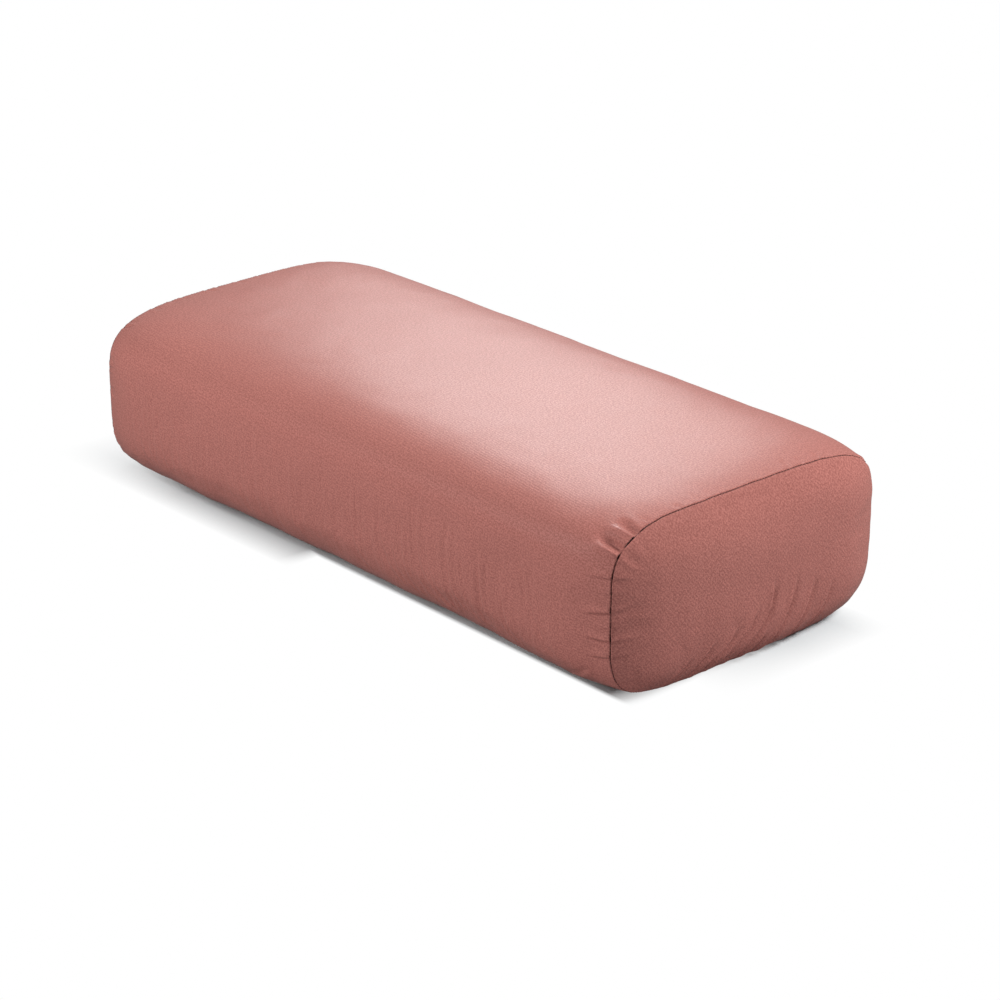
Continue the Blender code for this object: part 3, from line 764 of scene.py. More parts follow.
@dataclass(frozen=True)
class Creases:
    """Where the cover's cloth is gathered and folded.

    What shows in view is listed one by one. The rest is drawn at random within the spans given here.
    """

    near_puckers: tuple[Pucker, ...] = (
        Pucker(0.3172, 0.022, 0.0032, 0.0024, -0.28),
        Pucker(0.3356, 0.028, 0.0036, 0.0036, -0.22),
        Pucker(0.3592, 0.020, 0.0030, 0.0016, 0.16, True),
        Pucker(0.3720, 0.012, 0.0022, 0.0006, 0.15, True),
        Pucker(0.3874, 0.027, 0.0030, 0.0019, 0.31, True),
        Pucker(0.4010, 0.012, 0.0022, 0.0007, 0.20, True),
        Pucker(0.4119, 0.022, 0.0031, 0.0027, 0.03, True),
        Pucker(0.4266, 0.018, 0.0028, 0.0019, 0.07, True),
        Pucker(0.0560, 0.010, 0.0017, 0.0011, 0.1),
        Pucker(0.0480, 0.012, 0.0017, 0.0013, -0.1),
        Pucker(0.0400, 0.009, 0.0015, 0.0008, 0.0),
    )
    side_folds: tuple[Fold, ...] = (
        Fold(((0.0300, 0.366), (0.0280, 0.398), (0.0330, 0.428), (0.0420, 0.446)), 0.0033, 0.0011),
        Fold(((0.0656, 0.372), (0.0640, 0.402), (0.0720, 0.426), (0.0830, 0.444)), 0.0032, 0.0012),
        Fold(((0.0800, 0.384), (0.0790, 0.408), (0.0850, 0.430), (0.0960, 0.448)), 0.0027, 0.0009),
        Fold(((0.0930, 0.378), (0.0915, 0.405), (0.0950, 0.428), (0.1030, 0.446)), 0.0033, 0.0014),
        Fold(((0.1105, 0.340), (0.1085, 0.382), (0.1120, 0.413), (0.1230, 0.433), (0.1330, 0.452)), 0.0042, 0.0019),
        Fold(((0.1220, 0.398), (0.1250, 0.416), (0.1340, 0.434), (0.1430, 0.448)), 0.0027, 0.0009),
        Fold(((0.1450, 0.366), (0.1440, 0.392), (0.1480, 0.418), (0.1560, 0.440)), 0.0030, 0.0011),
        Fold(((0.1620, 0.380), (0.1630, 0.404), (0.1690, 0.430), (0.1770, 0.450)), 0.0027, 0.0009),
        Fold(((0.1800, 0.376), (0.1810, 0.395), (0.1855, 0.431), (0.1930, 0.452)), 0.0036, 0.0016),
        Fold(((0.2020, 0.384), (0.2040, 0.405), (0.2110, 0.432), (0.2200, 0.450)), 0.0032, 0.0014),
        Fold(((0.2260, 0.362), (0.2280, 0.380), (0.2340, 0.400), (0.2500, 0.425)), 0.0033, 0.0011),
        Fold(((0.2960, 0.440), (0.2840, 0.452), (0.2700, 0.458)), 0.0030, 0.0012),
    )
    end_folds: tuple[Fold, ...] = (
        Fold(
            ((0.0135, 0.074), (0.0130, 0.056), (0.0108, 0.046), (0.0050, 0.034), (-0.0070, 0.021), (-0.026, 0.001)),
            0.0029,
            0.0027,
        ),
        Fold(
            ((0.0390, 0.068), (0.0370, 0.052), (0.0330, 0.040), (0.0270, 0.028), (0.0190, 0.016), (0.0080, 0.000)),
            0.0029,
            0.0027,
        ),
        Fold(((0.0090, 0.024), (0.0000, 0.012), (-0.0080, 0.001)), 0.0025, 0.0020),
        Fold(((0.0600, 0.058), (0.0585, 0.045), (0.0545, 0.034), (0.0490, 0.023), (0.0380, 0.006)), 0.0027, 0.0019),
        Fold(((-0.0010, 0.050), (-0.0100, 0.035), (-0.0220, 0.023), (-0.0440, 0.003)), 0.0028, 0.0023),
        Fold(((-0.0210, 0.040), (-0.0330, 0.026), (-0.0460, 0.016), (-0.0600, 0.003)), 0.0027, 0.0022),
        Fold(((-0.0460, 0.034), (-0.0580, 0.020), (-0.0740, 0.004)), 0.0025, 0.0019),
        Fold(((0.0810, 0.050), (0.0780, 0.036), (0.0730, 0.024), (0.0620, 0.006)), 0.0026, 0.0015),
        Fold(((-0.0690, 0.027), (-0.0800, 0.014), (-0.0900, 0.005)), 0.0024, 0.0015),
    )
    drawn_puckers: int = 40
    pucker_stray: Span = (0.1, 0.9)
    pucker_reach: Span = (0.008, 0.020)
    pucker_width: Span = (0.0016, 0.0026)
    pucker_depth: Span = (0.0002, 0.0006)
    pucker_slant: Span = (-0.25, 0.25)
    drawn_folds: int = 64
    fold_stray: Span = (0.2, 0.8)
    fold_start: Span = (0.0, 0.045)
    fold_end: Span = (0.0, 0.02)
    fold_lean: Span = (-0.004, 0.010)
    fold_bend: float = 0.2
    fold_width: Span = (0.0022, 0.0036)
    fold_lift: Span = (0.0003, 0.0007)
    seed: int = 11

    def drawn_seam(self, girth: float, seed: int, clear: tuple[float, float] | None) -> list[Pucker]:
        """Small gathers along a whole end seam.

        Args:
            girth: The cloth's width round the girth.
            seed: The random draw's seed.
            clear: A stretch of the girth to leave to the listed gathers.

        Returns:
            The gathers.
        """
        draw = np.random.default_rng(seed)
        found = []
        for number in range(self.drawn_puckers):
            place = girth * (number + draw.uniform(*self.pucker_stray)) / self.drawn_puckers
            spans = (self.pucker_reach, self.pucker_width, self.pucker_depth, self.pucker_slant)
            sizes = [draw.uniform(*span) for span in spans]
            if clear is None or not clear[0] < place < clear[1]:
                found.append(Pucker(place, *sizes))
        return found

    def drawn_side(self, low: float, high: float, reach: float) -> list[Fold]:
        """Faint upright folds along a side, between two places round the girth."""
        draw = np.random.default_rng(self.seed + 5)
        found = []
        for number in range(self.drawn_folds):
            x = -reach + 2 * reach * (number + draw.uniform(*self.fold_stray)) / self.drawn_folds
            start, end = low + draw.uniform(*self.fold_start), high - draw.uniform(*self.fold_end)
            lean = draw.uniform(*self.fold_lean)
            line = ((x, start), (x + lean * self.fold_bend, (start + end) / 2), (x + lean, end))
            found.append(Fold(line, draw.uniform(*self.fold_width), draw.uniform(*self.fold_lift)))
        return found


@dataclass
class Settling:
    """How simulated cloth settled: the offset of each of its points, read from the nearest few of them."""

    starts: Array
    offsets: Array
    neighbours: int = 4
    least_distance: float = 0.001
    tree: Any = field(default=None, repr=False)

    def __post_init__(self) -> None:
        """Makes the tree that finds the nearest points."""
        self.tree = kdtree.KDTree(max(1, len(self.starts)))
        for number, point in enumerate(self.starts):
            self.tree.insert(Vector(point), number)
        self.tree.balance()

    def lift(self, points: Array, normals: Array) -> Array:
        """The offset along each normal, from the nearest simulated points."""
        if not len(self.starts):
            return np.zeros(points.shape[:-1])
        flat = points.reshape(-1, 3)
        total = np.zeros((len(flat), 3))
        for number, point in enumerate(flat):
            found = self.tree.find_n(Vector(point), self.neighbours)
            weights = np.array([1 / (distance + self.least_distance) ** 2 for _, _, distance in found])
            total[number] = weights @ self.offsets[[index for _, index, _ in found]] / weights.sum()
        return (total * normals.reshape(-1, 3)).sum(1).reshape(points.shape[:-1])


@dataclass(frozen=True)
class ClothSimulation:
    """Blown-up cloth, held at its seams, that buckles where it has more length than they let out."""

    voxel: float = 0.0055
    frames: int = 20
    mass: float = 0.3
    stretch: float = 18.0
    shear: float = 6.0
    bend: float = 0.6
    pressure: float = 4.0
    spare_cloth: float = 0.010
    cap: float = 0.0012
    top_calm: float = 0.06
    calm_from: tuple[float, float] = (0.085, 0.118)
    start_inset: float = 0.0010
    start_grid: tuple[int, int] = (140, 110)
    start_rings: tuple[float, ...] = (0.96, 0.9, 0.8, 0.68, 0.54, 0.4, 0.26, 0.12)
    seam_hold: float = 0.004
    seam_from: float = 0.9
    zip_hold: float = 0.022
    back_from: float = 0.4
    side_share: float = 0.95
    broad_passes: int = 40
    broad_share: float = 0.85

    def run(self, form: CoverForm) -> Settling:
        """Simulates the cover.

        Args:
            form: The cover's form.

        Returns:
            How it settled, with the broad swell taken out and each offset capped.
        """
        skin = self.start_mesh(form)
        starts = vertex_places(skin.data)
        self.hold(skin, starts, form)
        cloth = skin.modifiers.new("cloth", "CLOTH")
        rules = cloth.settings
        rules.quality = 5
        rules.mass = self.mass
        rules.tension_stiffness = self.stretch
        rules.compression_stiffness = self.stretch
        rules.shear_stiffness = self.shear
        rules.bending_stiffness = self.bend
        rules.use_pressure = True
        rules.uniform_pressure_force = self.pressure
        rules.shrink_min = -self.spare_cloth
        rules.vertex_group_mass = "held"
        rules.effector_weights.gravity = 0
        cloth.collision_settings.use_collision = False
        cloth.point_cache.frame_end = self.frames
        scene = bpy.context.scene
        for step in range(1, self.frames + 1):
            scene.frame_set(step)
        settled = skin.evaluated_get(bpy.context.evaluated_depsgraph_get())
        offsets = vertex_places(settled.data) - starts
        fine = offsets - self.broad_share * self.broad(skin.data, offsets)
        scene.frame_set(1)
        bpy.data.objects.remove(skin)
        low, high = self.calm_from
        fine *= self.top_calm + (1 - self.top_calm) * smoothstep(-starts[:, 2:], -high, -low)
        sizes = np.linalg.norm(fine, axis=1, keepdims=True)
        LOG.info(
            "cloth simulation: %d points, fine offset %.1f mm at most and %.2f mm as a rule",
            len(starts),
            sizes.max() * 1000,
            np.median(sizes) * 1000,
        )
        return Settling(starts, fine / (1 + sizes / self.cap))

    def start_mesh(self, form: CoverForm) -> bpy.types.Object:
        """The closed form a little inside the cover, in even cells."""
        count, stations = self.start_grid
        shares = np.arange(count) / count
        xs = np.linspace(-form.seam_x, form.seam_x, stations)
        points, normals = form.skin(xs, np.tile(shares, (len(xs), 1)))
        rows = list(points - normals * self.start_inset)
        middle = form.end_middle
        for share in self.start_rings:
            for side, rim, place in ((1, points[-1], len(rows)), (-1, points[0], 0)):
                ring = np.array(rim)
                ring[:, 1:] = middle + (rim[:, 1:] - middle) * share
                ring[:, 0] = side * (form.end_x(share) - self.start_inset)
                rows.insert(place, ring)
        flat = np.concatenate(rows)
        faces = tube_faces(len(rows), count)
        faces += [tuple(range(count)), tuple(range(len(flat) - 1, len(flat) - count - 1, -1))]
        mesh = bpy.data.meshes.new("cloth_start")
        mesh.from_pydata([tuple(point) for point in flat], [], faces)
        rough = add_object("cloth_rough", mesh)
        remesh = rough.modifiers.new("even", "REMESH")
        remesh.mode = "VOXEL"
        remesh.voxel_size = self.voxel
        even = plain_mesh(rough)
        bpy.data.objects.remove(rough)
        return add_object("cloth_skin", even)

    def hold(self, skin: bpy.types.Object, starts: Array, form: CoverForm) -> None:
        """Pins the seams, the underside and the cloth along the zip."""
        reach = np.abs(starts[:, 0])
        side = np.abs(starts[:, 1]) / (form.width / 2 * self.side_share)
        rim = np.maximum(side, np.abs(starts[:, 2] / form.height - 0.5) * 2)
        seam = (np.abs(reach - form.seam_x) < self.seam_hold) & (rim > self.seam_from)
        under = starts[:, 2] < self.voxel
        back = (starts[:, 1] > self.back_from * form.width) & (np.abs(starts[:, 2] - form.height / 2) < self.zip_hold)
        group = skin.vertex_groups.new(name="held")
        group.add([int(number) for number in np.flatnonzero(seam | under | back)], 1.0, "REPLACE")

    def broad(self, mesh: bpy.types.Mesh, offsets: Array) -> Array:
        """The offsets with their fine part averaged away over the mesh's edges."""
        edges = np.zeros(len(mesh.edges) * 2, np.int32)
        mesh.edges.foreach_get("vertices", edges)
        edges = edges.reshape(-1, 2)
        degree = np.bincount(edges.ravel(), minlength=len(offsets))[:, None]
        level = offsets
        for _ in range(self.broad_passes):
            total = np.zeros_like(level)
            np.add.at(total, edges[:, 0], level[edges[:, 1]])
            np.add.at(total, edges[:, 1], level[edges[:, 0]])
            level = 0.5 * level + 0.5 * total / np.maximum(degree, 1)
        return level


NOTHING_SETTLED = Settling(np.zeros((0, 3)), np.zeros((0, 3)))


def stitch_tree() -> bpy.types.NodeTree:
    """A run of stitches along a curve: one flattened bead of thread for each."""
    number, geometry = SocketKind.NUMBER, SocketKind.GEOMETRY
    takes = {
        "Line": geometry,
        "Stitch Length": number,
        "Stitch Gap": number,
        "Thread Radius": number,
        "Seed": SocketKind.WHOLE,
        "Material": SocketKind.MATERIAL,
    }
    tree, start, end = new_group("stitch_run", "GeometryNodeTree", takes, {"Stitches": geometry})
    pitch = tree.math("ADD", start["Stitch Length"], start["Stitch Gap"])
    spaced = tree.put("GeometryNodeResampleCurve", {"Curve": start["Line"], "Length": pitch}, mode="LENGTH")
    points = tree.put("GeometryNodeCurveToPoints", {"Curve": spaced.outputs[0]}, mode="EVALUATED")
    turned = tree.put("FunctionNodeAlignRotationToVector", {"Vector": points.outputs["Tangent"]}, axis="Z")
    bead = tree.put("GeometryNodeMeshUVSphere", {"Segments": 6, "Rings": 5, "Radius": 1.0})
    thinnest, thickest = 0.85, 1.1
    spread = {"Seed": start["Seed"], 2: thinnest, 3: thickest}
    uneven = tree.put("FunctionNodeRandomValue", spread, data_type="FLOAT")
    radius = tree.math("MULTIPLY", start["Thread Radius"], uneven.outputs[1])
    half = tree.math("MULTIPLY", start["Stitch Length"], 0.5)
    size = tree.put("ShaderNodeCombineXYZ", {0: radius, 1: radius, 2: half})
    inputs = {
        "Points": points.outputs["Points"],
        "Instance": bead.outputs["Mesh"],
        "Rotation": turned.outputs[0],
        "Scale": size.outputs[0],
    }
    placed = tree.put("GeometryNodeInstanceOnPoints", inputs)
    real = tree.put("GeometryNodeRealizeInstances", {0: placed.outputs[0]})
    smooth = tree.put("GeometryNodeSetShadeSmooth", {0: real.outputs[0]})
    dressed = tree.put("GeometryNodeSetMaterial", {"Geometry": smooth.outputs[0], "Material": start["Material"]})
    tree.feed(end, {0: dressed.outputs[0]})
    return tree.tree


def row_tree() -> bpy.types.NodeTree:
    """A row of copies of one small piece, at an even pitch along X."""
    number, geometry = SocketKind.NUMBER, SocketKind.GEOMETRY
    takes = {
        "Piece": geometry,
        "First": SocketKind.VECTOR,
        "Pitch": number,
        "Count": SocketKind.WHOLE,
        "Material": SocketKind.MATERIAL,
    }
    tree, start, end = new_group("even_row", "GeometryNodeTree", takes, {"Row": geometry})
    step = tree.put("ShaderNodeCombineXYZ", {0: start["Pitch"]})
    inputs = {"Count": start["Count"], "Start Location": start["First"], "Offset": step.outputs[0]}
    line = tree.put("GeometryNodeMeshLine", inputs, mode="OFFSET")
    placed = tree.put("GeometryNodeInstanceOnPoints", {"Points": line.outputs[0], "Instance": start["Piece"]})
    real = tree.put("GeometryNodeRealizeInstances", {0: placed.outputs[0]})
    dressed = tree.put("GeometryNodeSetMaterial", {"Geometry": real.outputs[0], "Material": start["Material"]})
    tree.feed(end, {0: dressed.outputs[0]})
    return tree.tree


def grow(carrier: bpy.types.Object, tree: bpy.types.NodeTree, name: str, inputs: dict[str, Any]) -> bpy.types.Object:
    """Runs a geometry tree on a carrier and keeps the result as a plain piece.

    Args:
        carrier: The object that the tree reads, which is removed.
        tree: The geometry tree.
        name: The new piece's name.
        inputs: The tree's inputs by name.

    Returns:
        The piece.
    """
    modifier = carrier.modifiers.new("grow", "NODES")
    modifier.node_group = tree
    sockets = {item.name: item.identifier for item in tree.interface.items_tree if item.in_out == "INPUT"}
    for title, value in inputs.items():
        modifier[sockets[title]] = value
    bpy.context.view_layer.update()
    mesh = plain_mesh(carrier)
    mesh.name = name
    carrier.modifiers.remove(modifier)
    bpy.data.objects.remove(carrier)
    return add_object(name, mesh)


@dataclass
class Stitcher:
    """Sews runs of stitches."""

    tree: bpy.types.NodeTree
    length: float = 0.0022
    gap: float = 0.0008
    radius: float = 0.00027
    seed: int = 3

    def sew(
        self, name: str, runs: Sequence[tuple[Array, bool]], thread: bpy.types.Material, radius: float | None = None
    ) -> bpy.types.Object:
        """Sews along each run.

        Args:
            name: The piece's name.
            runs: Lines of points, each with whether it joins back to its start.
            thread: The thread's material.
            radius: The thread's radius, if not the usual one.

        Returns:
            The stitches, as one piece.
        """
        curve = bpy.data.curves.new(name + "_line", "CURVE")
        curve.dimensions = "3D"
        for points, closed in runs:
            spline = curve.splines.new("POLY")
            spline.points.add(len(points) - 1)
            spline.points.foreach_set("co", np.concatenate([points, np.ones((len(points), 1))], 1).ravel())
            spline.use_cyclic_u = closed
        carrier = add_object(name + "_line", curve)
        inputs = {
            "Stitch Length": self.length,
            "Stitch Gap": self.gap,
            "Thread Radius": radius or self.radius,
            "Seed": self.seed,
            "Material": thread,
        }
        return grow(carrier, self.tree, name, inputs)


@dataclass(frozen=True)
class WrapFades:
    """Where the wrap panel's relief fades in, each as the places of none and of all of it.

    A negative span is read with the place negated, so it fades out. At the top the swells lose the share top_loss. The
    foot is where the cloth is drawn in near the floor.
    """

    settled: Span = (0.001, 0.012)
    floor: Span = (0.002, 0.022)
    top: Span = (0.115, 0.140)
    top_loss: float = 0.6
    foot_start: Span = (0.425, 0.450)
    foot_stop: Span = (-0.490, -0.462)
    foot_middle: float = 0.03
    foot_run: Span = (-0.27, -0.10)
    seam: Span = (0.0, 0.030)
    along_zip: Span = (0.012, 0.030)
    past_zip: Span = (0.235, 0.265)
    resting: Span = (0.0004, 0.006)


@dataclass(frozen=True)
class EndFades:
    """Where the end panels' relief fades in, each as the places of none and of all of it.

    The shares say how much of the settling, of the far end's folds and of the wrap panel's gathers is kept. The tab is
    where an end of the strap holds the cloth flat.
    """

    settled_share: float = 0.6
    floor: Span = (0.007, 0.028)
    seam: Span = (0.0, 0.014)
    fold: Span = (0.0, 0.005)
    far_fold_share: float = 0.7
    lapped_share: float = 0.4
    plain_share: float = 0.12
    reach_share: float = 0.7
    tab_y: float = 0.078
    tab_z: float = 0.071
    tab_along: Span = (0.017, 0.030)
    tab_across: Span = (0.018, 0.032)
    resting: Span = (0.0004, 0.004)


@dataclass
class Cover:
    """The twill cover: the wrap panel, the two end panels and their seams.

    The front and back folds are drawn between two places round the girth, as far as the third number along the body.
    The bands are how far from a seam the stations go at each step. The zip's stitches run past the slot, beside it and
    above the cloth by the three numbers given.
    """

    form: CoverForm
    creases: Creases
    settling: Settling
    cloth: float = 0.0009
    fold_radius: float = 0.00085
    fold_ease: float = 0.75
    bead_radius: float = 0.0006
    bead_inset: float = 0.00125
    bead_lift: float = 0.0007
    bead_steps: int = 9
    hem: float = 0.010
    hem_gap: float = 0.0003
    skirt_depth: float = 0.0024
    slot_half: float = 0.0057
    slot_run: float = 0.2120
    slot_end: float = 0.2204
    slot_power: float = 2.2
    seam_half: float = 0.00012
    foot_draw: float = 0.0020
    wrap_fades: WrapFades = WrapFades()
    end_fades: EndFades = EndFades()
    swells: tuple[Swell, ...] = (Swell(0.00035, 0.085, 31), Swell(0.00012, 0.030, 32))
    end_swells: tuple[Swell, ...] = (Swell(0.0004, 0.070, 41), Swell(0.00010, 0.024, 43))
    seam_swell: Swell = Swell(0.00022, 0.022, 21)
    far_gathering: float = 1.6
    by_hand: Span = (0.31, 0.445)
    front_folds: tuple[float, float, float] = (0.350, 0.450, 0.27)
    back_folds: tuple[float, float, float] = (0.060, 0.130, 0.24)
    row_step: float = 0.0020
    fine_from: float = 0.020
    fine_step: float = 0.0012
    bands: tuple[Span, ...] = ((0.0035, 0.0006), (0.045, 0.0013), (0.086, 0.0014), (0.104, 0.0012))
    inner_every: int = 18
    turn_steps: int = 7
    column_step: float = 0.0025
    close_girth: Span = (0.300, 0.448)
    close_share: float = 0.22
    wander_run: float = 0.06
    end_columns: int = 820
    end_rings: tuple[float, float, int] = (0.0006, 0.0019, 90)
    end_inner_rings: tuple[float, ...] = (0.9, 0.7, 0.5, 0.3, 0.1)
    end_parallel: Span = (0.006, 0.03)
    end_wander_power: int = 6
    end_gathering: float = 0.50
    end_foot: float = 0.74
    end_grain: float = math.radians(45.4)
    seam_points: int = 720
    seam_gather_share: float = 0.6
    thread_depth: float = 0.00032
    thread_floor: float = 0.0006
    zip_stitches: tuple[float, float, float] = (0.0040, 0.0045, 0.00012)
    topstitch_radius: float = 0.00030
    seam_wander: tuple[tuple[float, float], ...] = (
        (0.00, 0.0),
        (0.09, 0.0012),
        (0.16, 0.0020),
        (0.23, 0.0010),
        (0.30, 0.0008),
        (0.355, -0.0022),
        (0.41, -0.0010),
        (0.45, 0.0006),
        (0.52, 0.0008),
        (0.56, 0.0016),
        (0.62, 0.0),
        (1.00, 0.0),
    )

    def __post_init__(self) -> None:
        """Works out the cloth's width and the gathers of both seams."""
        self.girth = self.form.girth()
        creases = self.creases
        self.near = [*creases.near_puckers, *creases.drawn_seam(self.girth, creases.seed, self.by_hand)]
        far = creases.drawn_seam(self.girth, creases.seed + 1, None)
        self.far = [replace(pucker, depth=pucker.depth * self.far_gathering) for pucker in far]
        self.folds = [*creases.side_folds, *creases.drawn_side(*self.front_folds)]
        for fold in creases.drawn_side(*self.back_folds):
            self.folds.append(replace(fold, line=tuple((x, self.girth - place) for x, place in fold.line)))
        self.folds = [replace(fold, ease=self.fold_ease) for fold in self.folds]

    def stations(self) -> Array:
        """The outer skin's stations, close at the seams, at the ends of the zip and along the folds in view."""
        away = [self.fold_radius]
        for limit, step in self.bands:
            count = max(1, round((limit - away[-1]) / step))
            away += [away[-1] + (limit - away[-1]) * (number + 1) / count for number in range(count)]
        half = self.form.seam_x - np.array(away)
        plain = np.arange(-half[-1], self.fine_from, self.row_step)
        count = round((half[-1] - self.fine_from) / self.fine_step)
        inner = np.concatenate([plain[:-1], np.linspace(self.fine_from, half[-1], count + 1)])[1:-1]
        return np.concatenate([-half, inner, half[::-1]])

    def column_shares(self) -> Array:
        """Shares of the wrap panel's width, close together at its two sewn edges."""
        fine = np.array([0.0, 0.00015, 0.0003, 0.0005, 0.0008, 0.0013, 0.0020, 0.0030, 0.0042, 0.0056, 0.0072])
        fine = fine / self.girth
        low, high = (value / self.girth for value in self.close_girth)
        steps = (
            np.arange(fine[-1], low, self.column_step / self.girth),
            np.arange(low, high, self.close_share * self.column_step / self.girth),
            np.linspace(high, 1 - fine[-1], round((1 - fine[-1] - high) * self.girth / self.column_step)),
        )
        middle = np.concatenate(steps)[1:-1]
        return np.concatenate([fine, middle, 1 - fine[::-1]])

    def edge_gap(self, x: Array) -> Array:
        """How far each sewn edge keeps from the back's middle line: wide along the zip, and closed beyond it."""
        closing = np.clip((np.abs(x) - self.slot_run) / (self.slot_end - self.slot_run), 0, 1)
        opened = np.sqrt(np.maximum(0, 1 - closing**self.slot_power))
        return self.seam_half + (self.slot_half - self.seam_half) * opened

    def wander(self, share: Array) -> Array:
        """How far the near seam strays along X, round the girth."""
        table = np.array(self.seam_wander)
        smooth = np.interp(share, table[:, 0], table[:, 1])
        places = np.stack([np.cos(share * math.tau), np.sin(share * math.tau)], -1) * self.girth / math.tau
        return smooth + self.seam_swell.at(places)

    def lift(self, points: Array, normals: Array, shares: Array) -> Array:
        """How far the wrap panel's cloth stands off its plain form.

        Args:
            points: Places on the plain form.
            normals: Its normals there.
            shares: Shares of the girth there.

        Returns:
            The lift along each normal.
        """
        fades = self.wrap_fades
        x, z = points[..., 0], points[..., 2]
        place = shares * self.girth
        away = self.form.seam_x - np.abs(x)
        total = self.settling.lift(points, normals) * smoothstep(away, *fades.settled)
        flat = np.stack([x, place], -1)
        for fold in self.folds:
            total += fold.height(flat)
        total *= smoothstep(z, *fades.floor)
        total += sum(swell.at(points) for swell in self.swells) * (1 - fades.top_loss * smoothstep(z, *fades.top))
        foot = smoothstep(place, *fades.foot_start) * smoothstep(-place, *fades.foot_stop)
        total -= self.foot_draw * foot * smoothstep(-np.abs(x - fades.foot_middle), *fades.foot_run)
        total *= smoothstep(away, *fades.seam)
        for side, puckers in ((1, self.near), (-1, self.far)):
            here = side * x > 0
            for pucker in puckers:
                rows = here & (away < pucker.reach)
                total[rows] += pucker.height(away[rows], place[rows])
        calm = smoothstep(np.minimum(place, self.girth - place), *fades.along_zip)
        return total * np.maximum(calm, smoothstep(np.abs(x), *fades.past_zip)) * smoothstep(z, *fades.resting)

    def wrap_panel(self, finish: bpy.types.Material) -> bpy.types.Object:
        """The wrap panel as a closed piece of cloth, open along the zip and turned in at both seams."""
        form, girth = self.form, self.girth
        xs, shares = self.stations(), self.column_shares()
        inner_xs = xs[self.inner_every : -self.inner_every : self.inner_every]
        turn = np.linspace(0, math.pi, self.turn_steps)[1:]
        radius = self.fold_radius
        near = [(form.seam_x - radius + radius * math.sin(angle), radius - radius * math.cos(angle)) for angle in turn]
        near += [(form.seam_x - self.hem, 2 * radius), (form.seam_x - self.hem, self.cloth + self.hem_gap)]
        near += [(form.seam_x - 2 * self.cloth, self.cloth + self.hem_gap), (form.seam_x - 2 * self.cloth, self.cloth)]
        loop = [*((x, 0.0) for x in xs), *near, *((x, self.cloth) for x in inner_xs[::-1])]
        loop += [(-x, depth) for x, depth in near[::-1]]
        places = np.array([x for x, _ in loop])
        depths = np.array([depth for _, depth in loop])
        gaps = self.edge_gap(places)[:, None] / girth
        grid = gaps + shares[None, :] * (1 - 2 * gaps)
        points, normals = form.skin(places, grid)
        lift = self.lift(points, normals, grid)
        edge = np.minimum(shares, 1 - shares) * girth
        half = self.cloth / 2
        roll = half - np.sqrt(np.maximum(0, half**2 - np.maximum(0, half - edge) ** 2))
        inward = np.where(depths[:, None] < half, depths[:, None] + roll, np.maximum(depths[:, None] - roll, half))
        inward[len(xs) : len(xs) + len(near)] = depths[len(xs) : len(xs) + len(near), None]
        inward[len(loop) - len(near) :] = depths[len(loop) - len(near) :, None]
        points = points + normals * (lift - inward)[..., None]
        points[..., 0] += self.wander(grid) * smoothstep(points[..., 0], form.seam_x - self.wander_run, form.seam_x)
        points[..., 2] = np.maximum(points[..., 2], 0.0)
        rows, columns = points.shape[:2]
        faces = []
        for row in range(rows):
            faces += ring_faces((row + 1) % rows * columns, row * columns, columns, closed=False)
        outer = list(range(len(xs)))
        inner = list(range(rows - 1, len(xs) - 1, -1))
        for column, turned in ((0, False), (columns - 1, True)):
            first = [row * columns + column for row in outer]
            second = [row * columns + column for row in inner]
            strip = lace(first, list(places[outer]), second, list(np.maximum.accumulate(places[inner])))
            strip.append((first[0], second[0], (rows - 1) * columns + column))
            faces += [face[::-1] if turned else face for face in strip if len(set(face)) == 3]
        cloth = np.stack([grid * girth, np.broadcast_to(places[:, None], grid.shape)], -1)
        return add_piece("cover_wrap", points.reshape(-1, 3), faces, finish, cloth.reshape(-1, 2))

    def end_lift(self, points: Array, normals: Array, share: Array, place: Array, far: bool) -> Array:
        """How far an end panel's cloth stands off its plain form.

        Args:
            points: Places on the plain near end.
            normals: Its normals there.
            share: Shares of the way from its middle to its seam.
            place: Metres round the girth.
            far: Whether this is the far end.

        Returns:
            The lift along each normal.
        """
        fades = self.end_fades
        y, z = points[..., 1], points[..., 2]
        mirror = np.array([-1.0 if far else 1.0, 1.0, 1.0])
        total = self.settling.lift(points * mirror, normals * mirror)
        total *= fades.settled_share * smoothstep(z, *fades.floor)
        total += sum(swell.at(points, far) for swell in self.end_swells)
        away = (1 - share) * self.form.end_reach
        total *= smoothstep(away, *fades.seam)
        for fold in self.creases.end_folds:
            if far:
                line = tuple((-across, up) for across, up in fold.line)
                fold = replace(fold, line=line, lift=fold.lift * fades.far_fold_share, side=-fold.side)
            total += fold.height(points[..., 1:]) * smoothstep(away, *fades.fold)
        for pucker in self.far if far else self.near:
            depth = pucker.depth * (fades.lapped_share if pucker.lapped or far else fades.plain_share)
            passed_on = replace(pucker, reach=pucker.reach * fades.reach_share, depth=depth, slant=-pucker.slant)
            total += passed_on.height(away, place)
        if far:
            held = 1 - smoothstep(np.abs(np.abs(y) - fades.tab_y), *fades.tab_along)
            total *= 1 - held * (1 - smoothstep(np.abs(z - fades.tab_z), *fades.tab_across))
        return total * smoothstep(z, *fades.resting)

